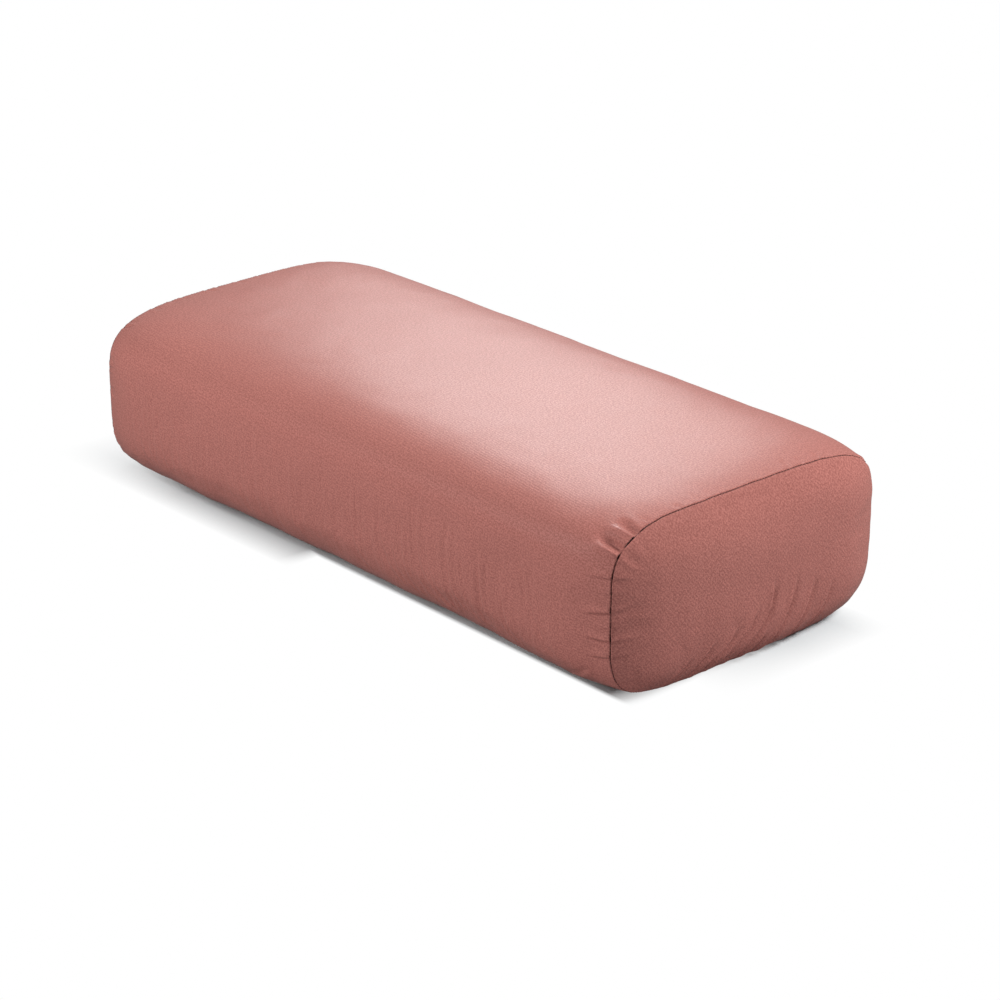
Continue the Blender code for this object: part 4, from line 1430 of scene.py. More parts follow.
    def end_panel(self, name: str, far: bool, finish: bpy.types.Material) -> bpy.types.Object:
        """An end panel as a closed piece of cloth, rolled at its seam and turned in under the wrap panel's hem."""
        form = self.form
        count = self.end_columns
        even = np.arange(count) / count
        shares = even - self.end_gathering / math.tau * np.sin(math.tau * (even - self.end_foot))
        shares -= shares[0]
        middle = form.end_middle
        reach = form.end_reach
        radial = 1 - (self.bead_inset + np.concatenate([[0.0], np.cumsum(np.linspace(*self.end_rings))])) / reach
        least = 0.02
        radial = np.append(radial[radial > 1.5 * least], least)[::-1]
        bead = np.linspace(0, math.pi, self.bead_steps)[1:]
        outer = [(form.face_x + self.bead_lift, (1 - value) * reach) for value in radial]
        centre = form.face_x + self.bead_radius
        outer += [
            (centre + self.bead_radius * math.cos(angle), self.bead_inset - self.bead_radius * math.sin(angle))
            for angle in bead
        ]
        hem_x = form.seam_x - self.hem
        outer += [(form.face_x, self.skirt_depth), (hem_x, self.skirt_depth)]
        inner_depth = self.skirt_depth + self.cloth
        inner = [(hem_x, inner_depth), (form.face_x - self.cloth, inner_depth)]
        inner += [(form.face_x - self.cloth, (1 - value) * reach) for value in self.end_inner_rings]
        loop = outer + inner
        rim, outward = form.at(form.seam_x, shares * form.girth(form.seam_x))
        xs = np.array([x for x, _ in loop])[:, None] + np.zeros(count)
        depths = np.array([depth for _, depth in loop])
        share = 1 - depths / reach
        faced = np.r_[0 : len(radial), len(outer) + 2 : len(loop)]
        parallel = smoothstep(depths, *self.end_parallel)[:, None, None]
        shrunk = middle + (rim - middle)[None] * share[:, None, None]
        offset = rim[None] - outward[None] * depths[:, None, None]
        flat = shrunk * parallel + offset * (1 - parallel)
        spread = form.spread(flat)
        xs[faced] += form.end_x(spread[faced], shares) - form.face_x
        points = np.concatenate([xs[..., None], flat], -1)
        steep = form.sharpness(shares)
        lean = form.end_bulge * steep * np.clip(spread, 0, 1) ** (steep - 1) / reach
        normals = np.concatenate([np.ones((len(loop), count, 1)), lean[..., None] * outward], -1)
        normals /= np.linalg.norm(normals, axis=-1, keepdims=True)
        place = np.broadcast_to(shares * self.girth, (len(loop), count))
        lift = self.end_lift(points, normals, spread, place, far)
        points = points + normals * lift[..., None]
        if not far:
            stray = self.wander(np.broadcast_to(shares, place.shape))
            points[..., 0] += stray * np.clip(spread, 0, 1) ** self.end_wander_power
        points[..., 2] = np.maximum(points[..., 2], 0.0)
        pole_rise = 0.00001
        pole_in = points[-1].mean(0)
        pole_out = points[0].mean(0)
        pole_out[0] = points[0, :, 0].mean() + pole_rise
        everything = np.concatenate([points.reshape(-1, 3), [pole_in, pole_out]])
        faces = tube_faces(len(loop), count)
        last, total = (len(loop) - 1) * count, len(loop) * count
        for step in range(count):
            after = (step + 1) % count
            faces.append((last + step, last + after, total))
            faces.append((after, step, total + 1))
        if far:
            everything[:, 0] *= -1
        else:
            faces = [face[::-1] for face in faces]
        level, plumb = math.cos(self.end_grain), math.sin(self.end_grain)
        cloth = everything[:, 1:] @ np.array([[level, -plumb], [plumb, level]])
        return add_piece(name, everything, faces, finish, cloth)

    def seam_line(self, far: bool) -> Array:
        """Where the thread shows in an end seam, down in the groove."""
        form = self.form
        shares = np.arange(self.seam_points) / self.seam_points
        rim, outward = form.at(form.seam_x, shares * form.girth(form.seam_x))
        place = shares * self.girth
        lift = np.zeros(len(shares))
        for pucker in self.far if far else self.near:
            lift += self.seam_gather_share * pucker.height(np.zeros(len(shares)), place)
        flat = rim - outward * (self.thread_depth - lift)[:, None]
        x = np.full(len(shares), form.seam_x + form.face_gap / 2)
        x = -x if far else x + self.wander(shares)
        line = np.concatenate([x[:, None], flat], 1)
        return line[line[:, 2] > self.thread_floor]

    def build(self, finishes: Finishes, stitcher: Stitcher) -> list[bpy.types.Object]:
        """Builds the cover's panels and sews them.

        Args:
            finishes: The materials.
            stitcher: What sews the seams.

        Returns:
            The pieces.
        """
        wrap = self.wrap_panel(finishes.cover)
        near = self.end_panel("cover_end_near_skin", False, finishes.cover)
        far = self.end_panel("cover_end_far_skin", True, finishes.cover)
        for piece, node in ((wrap, "cover_body_panel"), (near, "cover_end_near"), (far, "cover_end_far")):
            outwards(piece)
            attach(piece, "bolster")
            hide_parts(node)
        runs = [(self.seam_line(False), False), (self.seam_line(True), False)]
        # The seams' thread is dark partly as painted shade of the seam groove.
        seams = stitcher.sew("end_seam_stitches", runs, finishes.thread)
        rows = [(self.zip_line(), True)]
        topstitch = stitcher.sew("zip_topstitching", rows, finishes.topstitch, self.topstitch_radius)
        for piece in (seams, topstitch):
            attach(piece, "bolster")
        return [wrap, near, far, seams, topstitch]

    def zip_line(self) -> Array:
        """The row of stitches that holds the cover to the zip's tapes, all round the opening."""
        past, beside, above = self.zip_stitches
        along = self.slot_end + past
        up = (self.slot_half + beside) / self.girth
        xs = np.linspace(-along, along, 120)
        rise = np.linspace(-up, up, 9)[1:-1]
        path = [*((x, up) for x in xs), *((along, value) for value in rise[::-1])]
        path += [*((x, -up) for x in xs[::-1]), *((-along, value) for value in rise)]
        places = np.array(path)
        points, normals = self.form.skin(places[:, 0], places[:, 1:] % 1.0)
        return points[:, 0] + normals[:, 0] * above


@dataclass
class Zip:
    """The zip: two tapes, two rows of moulded teeth, their stops, the slider and its pull."""

    halves: tuple[tuple[str, int], ...] = (("upper", 1), ("lower", -1))
    tape_cords: int = 14
    tape_steps: tuple[int, int] = (90, 49)
    tape_thinness: float = 0.72
    cord_fade: Span = (-0.45, -0.05)
    root_radius: float = 0.00055
    root_offset: float = 0.0026
    root_flatness: float = 0.7
    root_steps: tuple[int, int] = (60, 8)
    tooth_pitch: float = 0.0042
    tooth_thickness: float = 0.0024
    tooth_round: float = 0.0003
    slider_gap: float = 0.0003
    tooth_sharp_angle: float = math.radians(50)
    stop_round: float = 0.0004
    edge_round: float = 0.00022
    weld: float = 0.000005
    flat_angle: float = math.radians(2)
    round_angle: float = math.radians(28)
    sharp_angle: float = math.radians(42)
    tooth_profile: tuple[Span, ...] = (
        (0.00068, 0.0034),
        (0.00068, 0.0020),
        (0.00045, 0.0014),
        (0.00042, 0.0005),
        (0.00105, -0.00010),
        (0.00122, -0.00055),
        (0.00115, -0.00120),
        (0.00085, -0.00165),
    )

    def rounded_copy(self, node: str, name: str, material: bpy.types.Material, width: float) -> bpy.types.Object:
        """A CAD node's copy with its edges rounded.

        Args:
            node: The CAD node.
            name: The copy's name.
            material: Its material.
            width: How wide the rounding is.

        Returns:
            The copy, which replaces the node.
        """
        shape = bmesh.new()
        shape.from_mesh(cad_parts[node].data)
        bmesh.ops.remove_doubles(shape, verts=shape.verts, dist=self.weld)
        bmesh.ops.dissolve_limit(
            shape, angle_limit=self.flat_angle, verts=shape.verts, edges=shape.edges, delimit=set()
        )
        mesh = bpy.data.meshes.new(name)
        shape.to_mesh(mesh)
        shape.free()
        made = add_object(name, mesh)
        bevel = made.modifiers.new("rounded", "BEVEL")
        bevel.width = width
        bevel.segments = 3
        bevel.limit_method = "ANGLE"
        bevel.angle_limit = self.round_angle
        bevel.use_clamp_overlap = True
        finished = plain_mesh(made)
        made.modifiers.clear()
        made.data = finished
        finished.materials.clear()
        finished.materials.append(material)
        finished.shade_smooth()
        finished.set_sharp_from_angle(angle=self.sharp_angle)
        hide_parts(node)
        return made

    def tape(self, node: str, name: str, material: bpy.types.Material) -> bpy.types.Object:
        """A woven tape with its cords raised along the edge that carries the teeth."""
        low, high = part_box(node)
        inner_up = abs(low.z - self.middle_z) > abs(high.z - self.middle_z)
        inner, outer = (high.z, low.z) if inner_up else (low.z, high.z)
        half = (high.y - low.y) / 2
        middle = (high.y + low.y) / 2
        stations, steps = self.tape_steps
        across = np.linspace(0, 1, steps)
        width = outer - inner
        cords = 0.5 + 0.5 * np.cos(across * math.tau * self.tape_cords)
        raised = (1 - self.tape_thinness) * cords * smoothstep(-across, *self.cord_fade)
        rise = half * (self.tape_thinness + raised)
        profile = [(inner + width * share, middle + lift) for share, lift in zip(across, rise)]
        profile += [(inner + width * share, middle - lift) for share, lift in zip(across[::-1], rise[::-1])]
        flat = np.array([(x, y, z) for x in np.linspace(low.x, high.x, stations) for z, y in profile])
        faces = tube_faces(stations, len(profile), capped=True)
        made = add_piece(name, flat, faces, material, flat[:, [2, 0]])
        outwards(made)
        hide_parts(node)
        return made

    @property
    def middle_z(self) -> float:
        """The height of the zip's middle line."""
        low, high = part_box("zip_slider")
        return (low.z + high.z) / 2

    def tooth(self, side: int) -> bpy.types.Object:
        """One moulded tooth: a waisted neck, a rounded head and a pad that grips the tape's edge."""
        outline = [*((-x, z) for x, z in self.tooth_profile), *self.tooth_profile[::-1]]
        shape = bmesh.new()
        half = self.tooth_thickness / 2
        front = [shape.verts.new((x, half, side * z)) for x, z in outline]
        face = shape.faces.new(front)
        grown = bmesh.ops.extrude_face_region(shape, geom=[face])
        moved = [item for item in grown["geom"] if isinstance(item, bmesh.types.BMVert)]
        bmesh.ops.translate(shape, verts=moved, vec=(0, -self.tooth_thickness, 0))
        bmesh.ops.recalc_face_normals(shape, faces=shape.faces)
        rims = [edge for edge in shape.edges if abs(edge.verts[0].co.y - edge.verts[1].co.y) < 1e-6]
        bmesh.ops.bevel(shape, geom=rims, offset=self.tooth_round, segments=2, affect="EDGES", profile=0.6)
        mesh = bpy.data.meshes.new("tooth")
        shape.to_mesh(mesh)
        shape.free()
        mesh.shade_smooth()
        mesh.set_sharp_from_angle(angle=self.tooth_sharp_angle)
        return add_object("tooth", mesh)

    def teeth(self, node: str, name: str, side: int, offset: float, material: bpy.types.Material) -> bpy.types.Object:
        """A whole row of teeth, at the CAD row's pitch and reach."""
        low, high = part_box(node)
        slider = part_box("zip_slider")[1].x
        end = slider - self.tooth_pitch - self.slider_gap
        count = int((end - low.x - self.tooth_pitch) / self.tooth_pitch)
        first = (low.x + self.tooth_pitch * 0.5 + offset, (low.y + high.y) / 2, self.middle_z)
        tree = bpy.data.node_groups.get("even_row") or row_tree()
        inputs = {"First": first, "Pitch": self.tooth_pitch, "Count": count, "Material": material}
        row = grow(self.tooth(side), tree, name, inputs)
        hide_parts(node)
        return row

    def root_cord(self, name: str, side: int, material: bpy.types.Material) -> bpy.types.Object:
        """The corded edge of a tape that a row of teeth is moulded on."""
        low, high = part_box("zip_teeth_upper" if side > 0 else "zip_teeth_lower")
        stations, steps = self.root_steps
        angles = np.arange(steps) / steps * math.tau
        y, z = (low.y + high.y) / 2, self.middle_z + side * self.root_offset
        tall = self.root_flatness * self.root_radius
        ring = [(y + self.root_radius * math.cos(angle), z + tall * math.sin(angle)) for angle in angles]
        flat = np.array([(x, *spot) for x in np.linspace(low.x, high.x, stations) for spot in ring])
        made = add_piece(name, flat, tube_faces(stations, steps, capped=True), material, flat[:, [2, 0]])
        outwards(made)
        return made

    def build(self, finishes: Finishes) -> list[bpy.types.Object]:
        """Builds every piece of the zip.

        Args:
            finishes: The materials.

        Returns:
            The pieces.
        """
        pieces = [self.tape(node, node + "_woven", finishes.tape) for node in ("zip_tape_upper", "zip_tape_lower")]
        pieces += [self.root_cord(f"zip_cord_{half}", side, finishes.tape) for half, side in self.halves]
        slots = ["zip_tape_weave"] * len(pieces)
        for half, side in self.halves:
            offset = 0.0 if side > 0 else self.tooth_pitch / 2
            pieces.append(self.teeth(f"zip_teeth_{half}", f"zip_teeth_{half}_moulded", side, offset, finishes.teeth))
        for node in ("zip_top_stop_upper", "zip_top_stop_lower", "zip_bottom_stop"):
            pieces.append(self.rounded_copy(node, node + "_moulded", finishes.teeth, self.stop_round))
        slots += ["zip_tooth_plastic"] * (len(pieces) - len(slots))
        for piece, slot in zip(pieces, slots):
            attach(piece, "bolster")
        for node, body in (("zip_slider", "slider"), ("zip_pull", "pull")):
            piece = self.rounded_copy(node, node + "_cast", finishes.metal, self.edge_round)
            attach(piece, body)
            pieces.append(piece)
        return pieces


def outwards(piece: bpy.types.Object) -> None:
    """Turns a closed piece's faces to point outwards."""
    shape = bmesh.new()
    shape.from_mesh(piece.data)
    bmesh.ops.recalc_face_normals(shape, faces=shape.faces)
    shape.to_mesh(piece.data)
    shape.free()


@dataclass
class CarryStrap:
    """The strap of folded twill on the far end, sewn down flat at both ends with a crossed box."""

    form: CoverForm
    width: float = 0.032
    thickness: float = 0.0024
    tab_inner: float = 0.0622
    tab_outer: float = 0.0935
    bow: float = 0.026
    clearance: float = 0.0010
    edge_margin: float = 0.0030
    panel_lift: float = 0.0007
    bow_power: float = 1.05
    cup: float = 0.0006
    sway: float = 0.0009
    sway_turns: float = 38.0
    thread_lift: float = 0.00005
    thread_radius: float = 0.00032
    hollow_depth: float = 0.00022
    hollow_width: float = 0.0009
    hollow_from: float = 0.6
    rows: int = 110
    across: int = 17

    def face_x(self, y: Array) -> Array:
        """Where the far end's face lies at the strap's height."""
        half = (self.form.width - self.form.end_width_loss) / 2
        place = np.where(y > 0, 0.0, self.form.front_share)
        return -(self.form.end_x(np.abs(y) / half, place) + self.panel_lift)

    def centre_line(self) -> Array:
        """The strap's under side, from one end to the other, as (x, y) points."""
        half = np.linspace(-1, 1, self.rows)
        y = self.tab_outer * half
        arch = np.clip(1 - (y / self.tab_inner) ** 2, 0, 1)
        return np.stack([self.face_x(y) - self.clearance - self.bow * arch**self.bow_power, y], -1)

    def surface(self, along: Array, across: Array, lift: float) -> Array:
        """Points over the strap.

        Args:
            along: Numbers of rows, from 0, which may lie between two rows.
            across: Places from the middle of its width.
            lift: How far above its under side.

        Returns:
            The points.
        """
        line = self.centre_line()
        ways = np.gradient(line, axis=0)
        ways /= np.linalg.norm(ways, axis=1, keepdims=True)
        rows = np.arange(len(line))
        spot = np.stack([np.interp(along, rows, line[:, number]) for number in (0, 1)], -1)
        way = np.stack([np.interp(along, rows, ways[:, number]) for number in (0, 1)], -1)
        outward = np.stack([-way[:, 1], way[:, 0]], -1)
        cup = self.cup * (1 - np.clip(np.abs(across) / (self.width / 2), 0, 1) ** 2)
        free = np.clip(1 - (spot[:, 1] / self.tab_inner) ** 2, 0, 1)
        flat = spot + outward * (lift + cup * free)[:, None]
        z = self.form.end_middle[1] + across + self.sway * np.sin(spot[:, 1] * self.sway_turns) * free
        return np.stack([flat[:, 0], flat[:, 1], z], -1)

    def build(self, finishes: Finishes, stitcher: Stitcher) -> list[bpy.types.Object]:
        """Builds the strap and its stitches.

        Args:
            finishes: The materials.
            stitcher: What sews it down.

        Returns:
            The pieces.
        """
        half, thick = self.width / 2, self.thickness
        round_edge = thick / 2
        upper = np.linspace(-half + round_edge, half - round_edge, self.across)
        turn = np.linspace(0, math.pi, 7)[1:-1]
        ring = [(value, thick) for value in upper]
        ring += [(half - round_edge + round_edge * math.sin(a), round_edge + round_edge * math.cos(a)) for a in turn]
        ring += [(value, 0.0) for value in upper[::-1]]
        ring += [(-half + round_edge - round_edge * math.sin(a), round_edge - round_edge * math.cos(a)) for a in turn]
        rows = np.arange(self.rows, dtype=float)
        points = np.stack([self.surface(rows, np.full(self.rows, across), lift) for across, lift in ring], 1)
        points[..., 0] += self.stitch_hollow(points)
        faces = tube_faces(self.rows, len(ring), capped=True)
        run = run_lengths(self.centre_line())
        around = np.cumsum([0.0, *(math.dist(a, b) for a, b in zip(ring, ring[1:]))])
        cloth = np.stack(np.broadcast_arrays(around[None, :], run[:, None]), -1).reshape(-1, 2)
        strap = add_piece("carry_strap_twill", points.reshape(-1, 3), faces, finishes.strap, cloth)
        outwards(strap)
        strap.data.set_sharp_from_angle(angle=math.radians(60))
        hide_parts("carry_strap")
        lines = [self.lengthwise(side * (half - self.edge_margin)) for side in (1, -1)]
        lines += [*self.crossed_box(1), *self.crossed_box(-1)]
        runs = [(line, False) for line in lines]
        stitches = stitcher.sew("strap_stitches", runs, finishes.topstitch, self.thread_radius)
        for piece in (strap, stitches):
            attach(piece, "bolster")
        return [strap, stitches]

    def stitch_hollow(self, points: Array) -> Array:
        """How far the rows of stitches pull the strap's upper side in."""
        across = np.abs(points[..., 2] - self.form.end_middle[1])
        row = np.exp(-(((across - self.width / 2 + self.edge_margin) / self.hollow_width) ** 2))
        outer = points[..., 0] < self.centre_line()[:, :1] - self.thickness * self.hollow_from
        return self.hollow_depth * row * outer

    def row_of(self, y: float) -> float:
        """The number of the row that lies at y."""
        return float(np.interp(y, self.centre_line()[:, 1], np.arange(self.rows)))

    def lengthwise(self, across: float) -> Array:
        """A run of stitches along the strap."""
        end = self.tab_outer - self.edge_margin
        rows = np.linspace(self.row_of(-end), self.row_of(end), 160)
        return self.surface(rows, np.full(len(rows), across), self.thickness + self.thread_lift)

    def crossed_box(self, side: int) -> list[Array]:
        """The box of stitches and its two diagonals that hold one end of the strap."""
        low, high = side * (self.tab_inner + self.edge_margin), side * (self.tab_outer - self.edge_margin)
        reach = self.width / 2 - self.edge_margin
        corners = [(low, -reach), (low, reach), (high, -reach), (high, reach)]
        runs = []
        for start, end in ((0, 1), (2, 3), (0, 3), (1, 2)):
            share = np.linspace(0, 1, 24)
            y = corners[start][0] + (corners[end][0] - corners[start][0]) * share
            across = corners[start][1] + (corners[end][1] - corners[start][1]) * share
            rows = np.array([self.row_of(value) for value in y])
            runs.append(self.surface(rows, across, self.thickness + self.thread_lift))
        return runs


@dataclass
class Filling:
    """The insert inside the cover: its calico bag and the layers of wadding."""

    form: CoverForm
    bag_depth: float = 0.0040
    bag_back_depth: float = 0.0060
    layers: int = 5
    layer_gap: float = 0.0006
    wadding_depth: float = 0.0062
    foot_room: float = 0.0020
    foot_start: Span = (0.50, 0.535)
    foot_stop: Span = (-0.63, -0.585)
    back_fade: Span = (0.012, 0.05)
    crowding: float = 1.25
    end_room: float = 0.012
    end_draw: float = 0.0022
    end_draw_run: float = 0.03
    end_rings: tuple[float, ...] = (0.985, 0.95, 0.88, 0.78, 0.66, 0.52, 0.38, 0.24, 0.1)
    ring_gap: float = 0.0006
    corner_from: float = 0.94
    swell: Swell = Swell(0.0003, 0.05, 51)
    bag_grid: tuple[int, int] = (120, 200)
    closing_reach: float = 0.08
    closing_sway: float = 0.0006
    closing_turns: float = 900.0
    closing_lift: float = 0.0002
    layer_points: int = 220
    layer_rings: tuple[float, ...] = (0.02, 0.25, 0.45, 0.62, 0.76, 0.87, 0.95)
    layer_edge_steps: int = 13
    layer_edge_share: float = 0.55
    layer_swell: float = 0.00022
    layer_wavelength: float = 0.03
    layer_seed: int = 60
    side_room: float = 0.002
    face_room: float = 0.003
    corner_power: float = 2 / 7
    plan_taper: float = 0.06
    plan_taper_from: float = 0.24

    def closed_form(self, depth: float, back_depth: float, stations: int, count: int) -> tuple[Array, list]:
        """The cover's form drawn in all round.

        Args:
            depth: How far it is drawn in.
            back_depth: How far behind the zip.
            stations: How many rows it has along the body.
            count: How many points go round it.

        Returns:
            Its points, rows by columns with both ends' rows, and its faces.
        """
        form = self.form
        xs = np.linspace(-1, 1, stations)
        reach = form.seam_x - self.end_room
        xs = reach * np.sign(xs) * (1 - (1 - np.abs(xs)) ** self.crowding)
        shares = np.arange(count) / count
        points, normals = form.skin(xs, np.tile(shares, (stations, 1)))
        extra = (back_depth - depth) * (1 - smoothstep(np.minimum(shares, 1 - shares) * form.girth(), *self.back_fade))
        extra += self.foot_room * smoothstep(shares, *self.foot_start) * smoothstep(-shares, *self.foot_stop)
        ends = self.end_draw * smoothstep(np.abs(xs), form.seam_x - self.end_draw_run, reach)
        draw = depth + extra[None, :] + ends[:, None]
        body = points - normals * draw[..., None]
        rows = list(body)
        middle = form.end_middle
        for share in self.end_rings:
            corner = max(0.0, (share - self.corner_from) / (1 - self.corner_from)) ** 2
            end = form.end_x(share) - depth - self.ring_gap
            for side, rim in ((1, body[-1]), (-1, body[0])):
                ring = np.array(rim)
                ring[:, 1:] = middle + (rim[:, 1:] - middle) * share
                ring[:, 0] = side * (end - (end - abs(rim[0, 0])) * corner)
                rows.insert(len(rows) if side > 0 else 0, ring)
        grid = np.array(rows)
        grid[..., 2] += self.swell.at(grid)
        faces = tube_faces(len(rows), count)
        total = len(rows) * count
        faces += [(step, (step + 1) % count, total) for step in range(count)]
        last = total - count
        faces += [(last + (step + 1) % count, last + step, total + 1) for step in range(count)]
        flat = grid.reshape(-1, 3)
        return np.concatenate([flat, [grid[0].mean(0), grid[-1].mean(0)]]), faces

    def bag(self, finishes: Finishes, stitcher: Stitcher) -> list[bpy.types.Object]:
        """The insert's bag, with the hand stitches that close its turning slit."""
        points, faces = self.closed_form(self.bag_depth, self.bag_back_depth, *self.bag_grid)
        cloth = points[:, [0, 2]] + points[:, [1]] * np.array([[0.0, 1.0]])
        bag = add_piece("insert_bag", points, faces, finishes.liner, cloth)
        outwards(bag)
        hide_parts("insert_liner")
        xs = np.linspace(-self.closing_reach, self.closing_reach, 60)
        spots, normals = self.form.skin(xs, np.zeros((len(xs), 1)))
        line = spots[:, 0] - normals[:, 0] * (self.bag_back_depth - self.closing_lift)
        line[:, 2] += self.closing_sway * np.sin(xs * self.closing_turns)
        closing = stitcher.sew("insert_closing_stitches", [(line, False)], finishes.calico_thread)
        for piece in (bag, closing):
            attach(piece, "bolster")
        return [bag, closing]

    def wadding(self, finishes: Finishes) -> list[bpy.types.Object]:
        """The layers of wadding, each with soft edges."""
        made = []
        low, high = self.wadding_depth, self.form.height - self.wadding_depth
        thick = (high - low - self.layer_gap * (self.layers - 1)) / self.layers
        for number in range(1, self.layers + 1):
            floor = low + (number - 1) * (thick + self.layer_gap)
            made.append(self.layer(number, floor, floor + thick, finishes.wadding))
        return made

    def layer(self, number: int, floor: float, top: float, finish: bpy.types.Material) -> bpy.types.Object:
        """One layer between two heights, trimmed to the cover's form.

        Args:
            number: The layer's number, from the lowest.
            floor: Its lower side.
            top: Its upper side.
            finish: Its material.

        Returns:
            The piece.
        """
        count, edge = self.layer_points, self.layer_edge_share * (top - floor) / 2
        angles = np.arange(count) / count * math.tau
        turns = np.linspace(-1, 1, self.layer_edge_steps) * math.pi / 2
        profile = [(floor, edge * (1 - math.cos(turns[0])), share) for share in self.layer_rings]
        profile += [
            ((floor + top) / 2 + (top - floor) / 2 * math.sin(turn), edge * (1 - math.cos(turn)), 1.0) for turn in turns
        ]
        profile += [(top, edge * (1 - math.cos(turns[-1])), share) for share in self.layer_rings[::-1]]
        rows = [
            np.concatenate([self.plan(angles, z, inset) * share, np.full((count, 1), z)], 1)
            for z, inset, share in profile
        ]
        grid = np.array(rows)
        swell = ripple(grid[..., :2], self.layer_wavelength, self.layer_seed + number)
        grid[..., 2] += self.layer_swell * np.clip(swell, -1, 1)
        faces = tube_faces(len(rows), count, capped=True)
        made = add_piece(f"wadding_{number}", grid.reshape(-1, 3), faces, finish)
        outwards(made)
        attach(made, "bolster")
        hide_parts(f"wadding_layer_{number}")
        return made

    def plan(self, angles: Array, height: float, inset: float) -> Array:
        """A layer's plan at a height, drawn in by inset, as (x, y) points."""
        form = self.form
        off_middle = min(1.0, abs(height - form.end_middle[1]) / form.end_middle[1])
        widest = form.widest_share * form.height
        rise = form.height - widest if height > widest else widest
        square = form.top_squareness if height > widest else form.base_squareness
        level = min(0.999, abs(height - widest) / rise)
        full = (1 - level**square) ** (1 / square)
        half_y = (form.width / 2 - self.wadding_depth - self.side_room) * full - inset
        half_x = form.end_x(off_middle) - self.wadding_depth - self.face_room - inset
        across, along = np.sin(angles), np.cos(angles)
        x = half_x * np.sign(along) * np.abs(along) ** self.corner_power
        y = half_y * np.sign(across) * np.abs(across) ** self.corner_power
        return np.stack([x, y * (1 - self.plan_taper * smoothstep(np.abs(x), self.plan_taper_from, half_x))], -1)

    def build(self, finishes: Finishes, stitcher: Stitcher) -> list[bpy.types.Object]:
        """Builds the bag and the wadding."""
        return [*self.bag(finishes, stitcher), *self.wadding(finishes)]


@dataclass(frozen=True)
class Softbox:
    """A square lamp that looks at a point."""

    name: str
    place: Place
    aim: Place
    size: float
    power: float
    glossy: bool = True

    def hang(self) -> None:
        """Adds the lamp."""
        lamp = bpy.data.lights.new(self.name, "AREA")
        lamp.size = self.size
        lamp.energy = self.power
        made = add_object(self.name, lamp)
        made.location = self.place
        way = Vector(self.aim) - Vector(self.place)
        made.rotation_euler = way.to_track_quat("-Z", "Y").to_euler()
        made.visible_camera = False
        made.visible_glossy = self.glossy


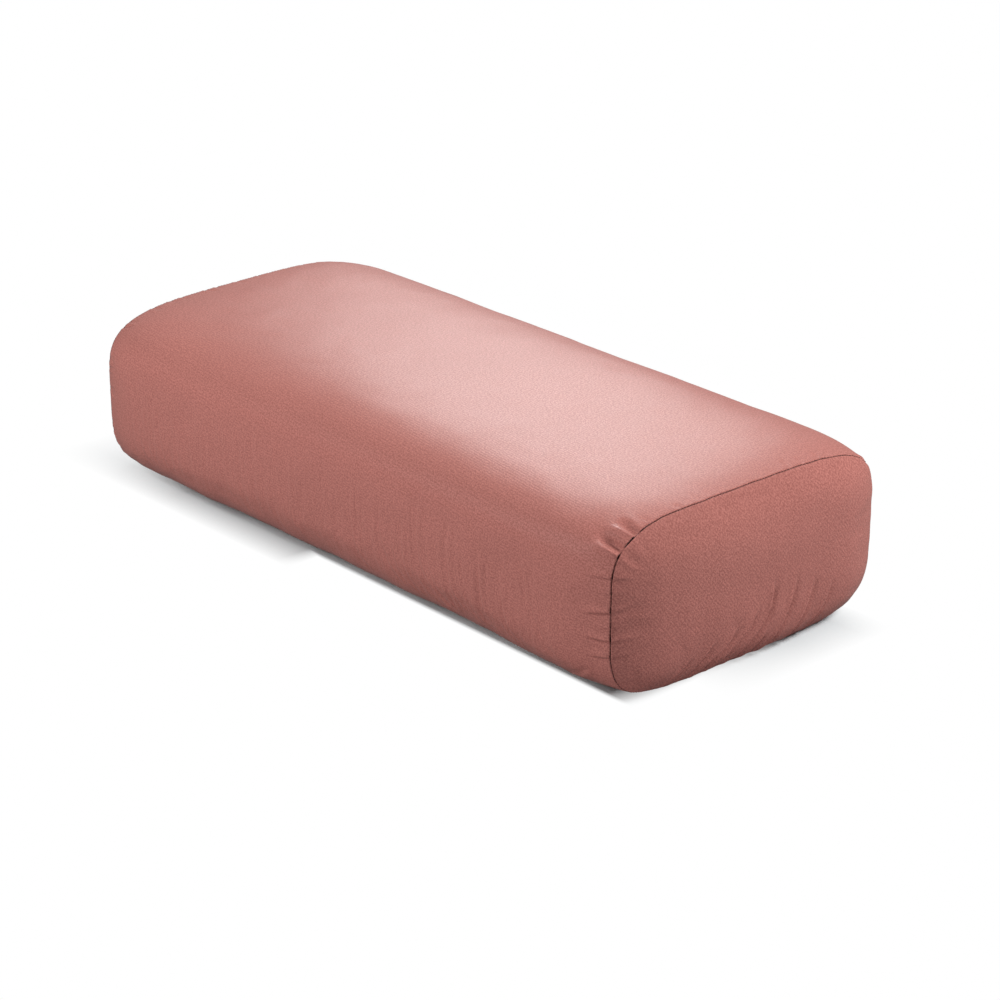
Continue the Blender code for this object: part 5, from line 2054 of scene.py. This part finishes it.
@dataclass(frozen=True)
class Studio:
    """The floor, the lamps, the plain white surround and the camera."""

    azimuth: float = math.radians(47.93)
    elevation: float = math.radians(23.12)
    distance: float = 2.50
    focus: Place = (0.0, 0.0, 0.075)
    shift_right: float = 0.0238
    shift_up: float = -0.0418
    lens: float = 108.88
    floor_z: float = -0.0002
    floor_radius: float = 6.0
    # Painted shadow: patches of grey floor in fixed shapes, each given along X and along Y as where it starts, is full,
    # is full still and ends. The object's real shadow shows only inside them.
    painted_shadow_patches: tuple[tuple[tuple[float, ...], tuple[float, ...]], ...] = (
        ((-0.385, -0.230, -0.066, -0.048), (-0.1585, -0.124, 0.0, 0.1)),
        ((-0.110, -0.070, 0.290, 0.320), (-0.1262, -0.1212, 0.0, 0.1)),
        ((0.10, 0.20, 0.318, 0.360), (-0.060, 0.045, 0.095, 0.125)),
    )
    bounce: Colour = (0.43, 0.355, 0.35)
    gloss_bounce: Colour = (0.05, 0.05, 0.05)
    # The grey of the painted shadow patches, which also takes the object's real shadow.
    painted_shadow_grey: Colour = (0.60, 0.64, 0.65)
    surround: float = 0.07
    surround_gloss: float = 0.06
    softboxes: tuple[Softbox, ...] = (
        Softbox("left_softbox", (-0.52, -1.25, 0.94), (0.0, 0.0, 0.07), 0.7, 21.2, False),
        Softbox("right_softbox", (1.08, 0.89, 1.21), (0.1, 0.0, 0.07), 0.7, 39.0, False),
        Softbox("front_softbox", (0.90, -2.00, 0.36), (0.1, 0.0, 0.07), 0.8, 8.0, False),
        Softbox("sheen_softbox", (-0.56, 0.60, 0.66), (0.09, 0.0, 0.14), 0.50, 4.6),
    )

    def camera(self) -> None:
        """Places the camera where the photograph was taken from."""
        level = math.cos(self.elevation)
        back = Vector((math.sin(self.azimuth) * level, -math.cos(self.azimuth) * level, math.sin(self.elevation)))
        right = Vector((math.cos(self.azimuth), math.sin(self.azimuth), 0.0))
        up = back.cross(right)
        lens = bpy.data.cameras.new("photo_camera")
        lens.lens = self.lens
        lens.sensor_width = 36.0
        made = add_object("photo_camera", lens)
        made.location = Vector(self.focus) + back * self.distance + right * self.shift_right + up * self.shift_up
        made.rotation_mode = "QUATERNION"
        made.rotation_quaternion = (-back).to_track_quat("-Z", "Y")
        bpy.context.scene.camera = made

    def seen_plain(self, tree: Tree) -> bpy.types.NodeSocket:
        """1 for rays in view, less for rays in gloss, and 0 for rays that light the object."""
        path = tree.put("ShaderNodeLightPath").outputs
        either = tree.math("MAXIMUM", path["Is Camera Ray"], path["Is Transmission Ray"])
        return tree.math("MAXIMUM", either, tree.math("MULTIPLY", path["Is Glossy Ray"], self.surround_gloss))

    @staticmethod
    def shadow_band(tree: Tree, place: Any, band: Sequence[Sequence[float]]) -> bpy.types.NodeSocket:
        """How far a painted shadow patch shows at a place: grey ground that also takes the object's real shadow.

        Args:
            tree: The floor's tree.
            place: The X, Y and Z outputs of its coordinates.
            band: Along X and along Y, where the band starts, is full, is full still and ends.

        Returns:
            The share of the painted shadow patch to show.
        """
        shown = None
        for value, (begun, full, still, ended) in zip(place, band):
            for low, high in ((begun, full), (ended, still)):
                ramp = tree.ramp(value, low, high)
                shown = ramp if shown is None else tree.math("MULTIPLY", shown, ramp)
        return shown

    def floor(self) -> bpy.types.Object:
        """A white floor with painted shadow patches near the object, grey ground that also keeps the object's real
        shadow, and plain white away from them.
        """
        material = bpy.data.materials.new("studio_floor")
        material.use_nodes = True
        tree = Tree(material.node_tree)
        material.node_tree.nodes.clear()
        in_gloss = tree.put("ShaderNodeLightPath").outputs["Is Glossy Ray"]
        matt = tree.put("ShaderNodeBsdfDiffuse", {"Color": tree.mix(in_gloss, self.bounce, self.gloss_bounce)})
        # Painted shadow: in fixed patches the floor turns from plain white glow to this grey ground, which also takes
        # the object's real shadow.
        seen = tree.put("ShaderNodeBsdfDiffuse", {"Color": (*self.painted_shadow_grey, 1.0)})
        place = tree.put("ShaderNodeSeparateXYZ", {0: tree.put("ShaderNodeTexCoord").outputs["Object"]}).outputs
        left, line, right = (self.shadow_band(tree, place, band) for band in self.painted_shadow_patches)
        shade = tree.math("MAXIMUM", left, tree.math("MAXIMUM", line, right))
        glow = tree.put("ShaderNodeEmission", {"Strength": 1.0})
        both = tree.put("ShaderNodeMixShader", {0: shade, 1: glow.outputs[0], 2: seen.outputs[0]})
        chosen = tree.put("ShaderNodeMixShader", {0: self.seen_plain(tree), 1: matt.outputs[0], 2: both.outputs[0]})
        tree.put("ShaderNodeOutputMaterial", {"Surface": chosen.outputs[0]})
        count = 96
        angles = np.arange(count) / count * math.tau
        rim = np.stack([np.cos(angles), np.sin(angles)], -1) * self.floor_radius
        points = np.concatenate([rim, np.full((count, 1), self.floor_z)], 1)
        made = add_piece("studio_floor", points, [tuple(range(count))], material)
        return made

    def world(self) -> None:
        """A plain surround: white in view, and a soft even light on the object."""
        world = bpy.data.worlds.new("studio_world")
        bpy.context.scene.world = world
        world.use_nodes = True
        tree = Tree(world.node_tree)
        light = world.node_tree.nodes["Background"]
        reach = tree.math("MULTIPLY_ADD", self.seen_plain(tree), 1.0 - self.surround, self.surround)
        tree.feed(light, {"Strength": reach, "Color": (1.0, 1.0, 1.0, 1.0)})

    def build(self) -> None:
        """Sets up the whole studio."""
        self.camera()
        self.floor()
        self.world()
        for softbox in self.softboxes:
            softbox.hang()
        bpy.context.scene.view_settings.view_transform = "Standard"


def report(title: str, pieces: Sequence[bpy.types.Object]) -> None:
    """Logs each piece with its triangle count."""
    for piece in pieces:
        triangles = sum(len(face.vertices) - 2 for face in piece.data.polygons)
        LOG.info("%s: %s, %d triangles", title, piece.name, triangles)


def main() -> None:
    """Builds the bolster's looks and its studio."""
    logging.basicConfig(level=logging.INFO, format="%(message)s")
    studio = Studio()
    studio.build()
    finishes = Finishes()
    form = CoverForm()
    settling = ClothSimulation().run(form)
    stitcher = Stitcher(stitch_tree())
    report("cover", Cover(form, Creases(), settling).build(finishes, stitcher))
    report("zip", Zip().build(finishes))
    report("strap", CarryStrap(form).build(finishes, stitcher))
    report("filling", Filling(form).build(finishes, stitcher))


if __name__ == "__main__":
    main()
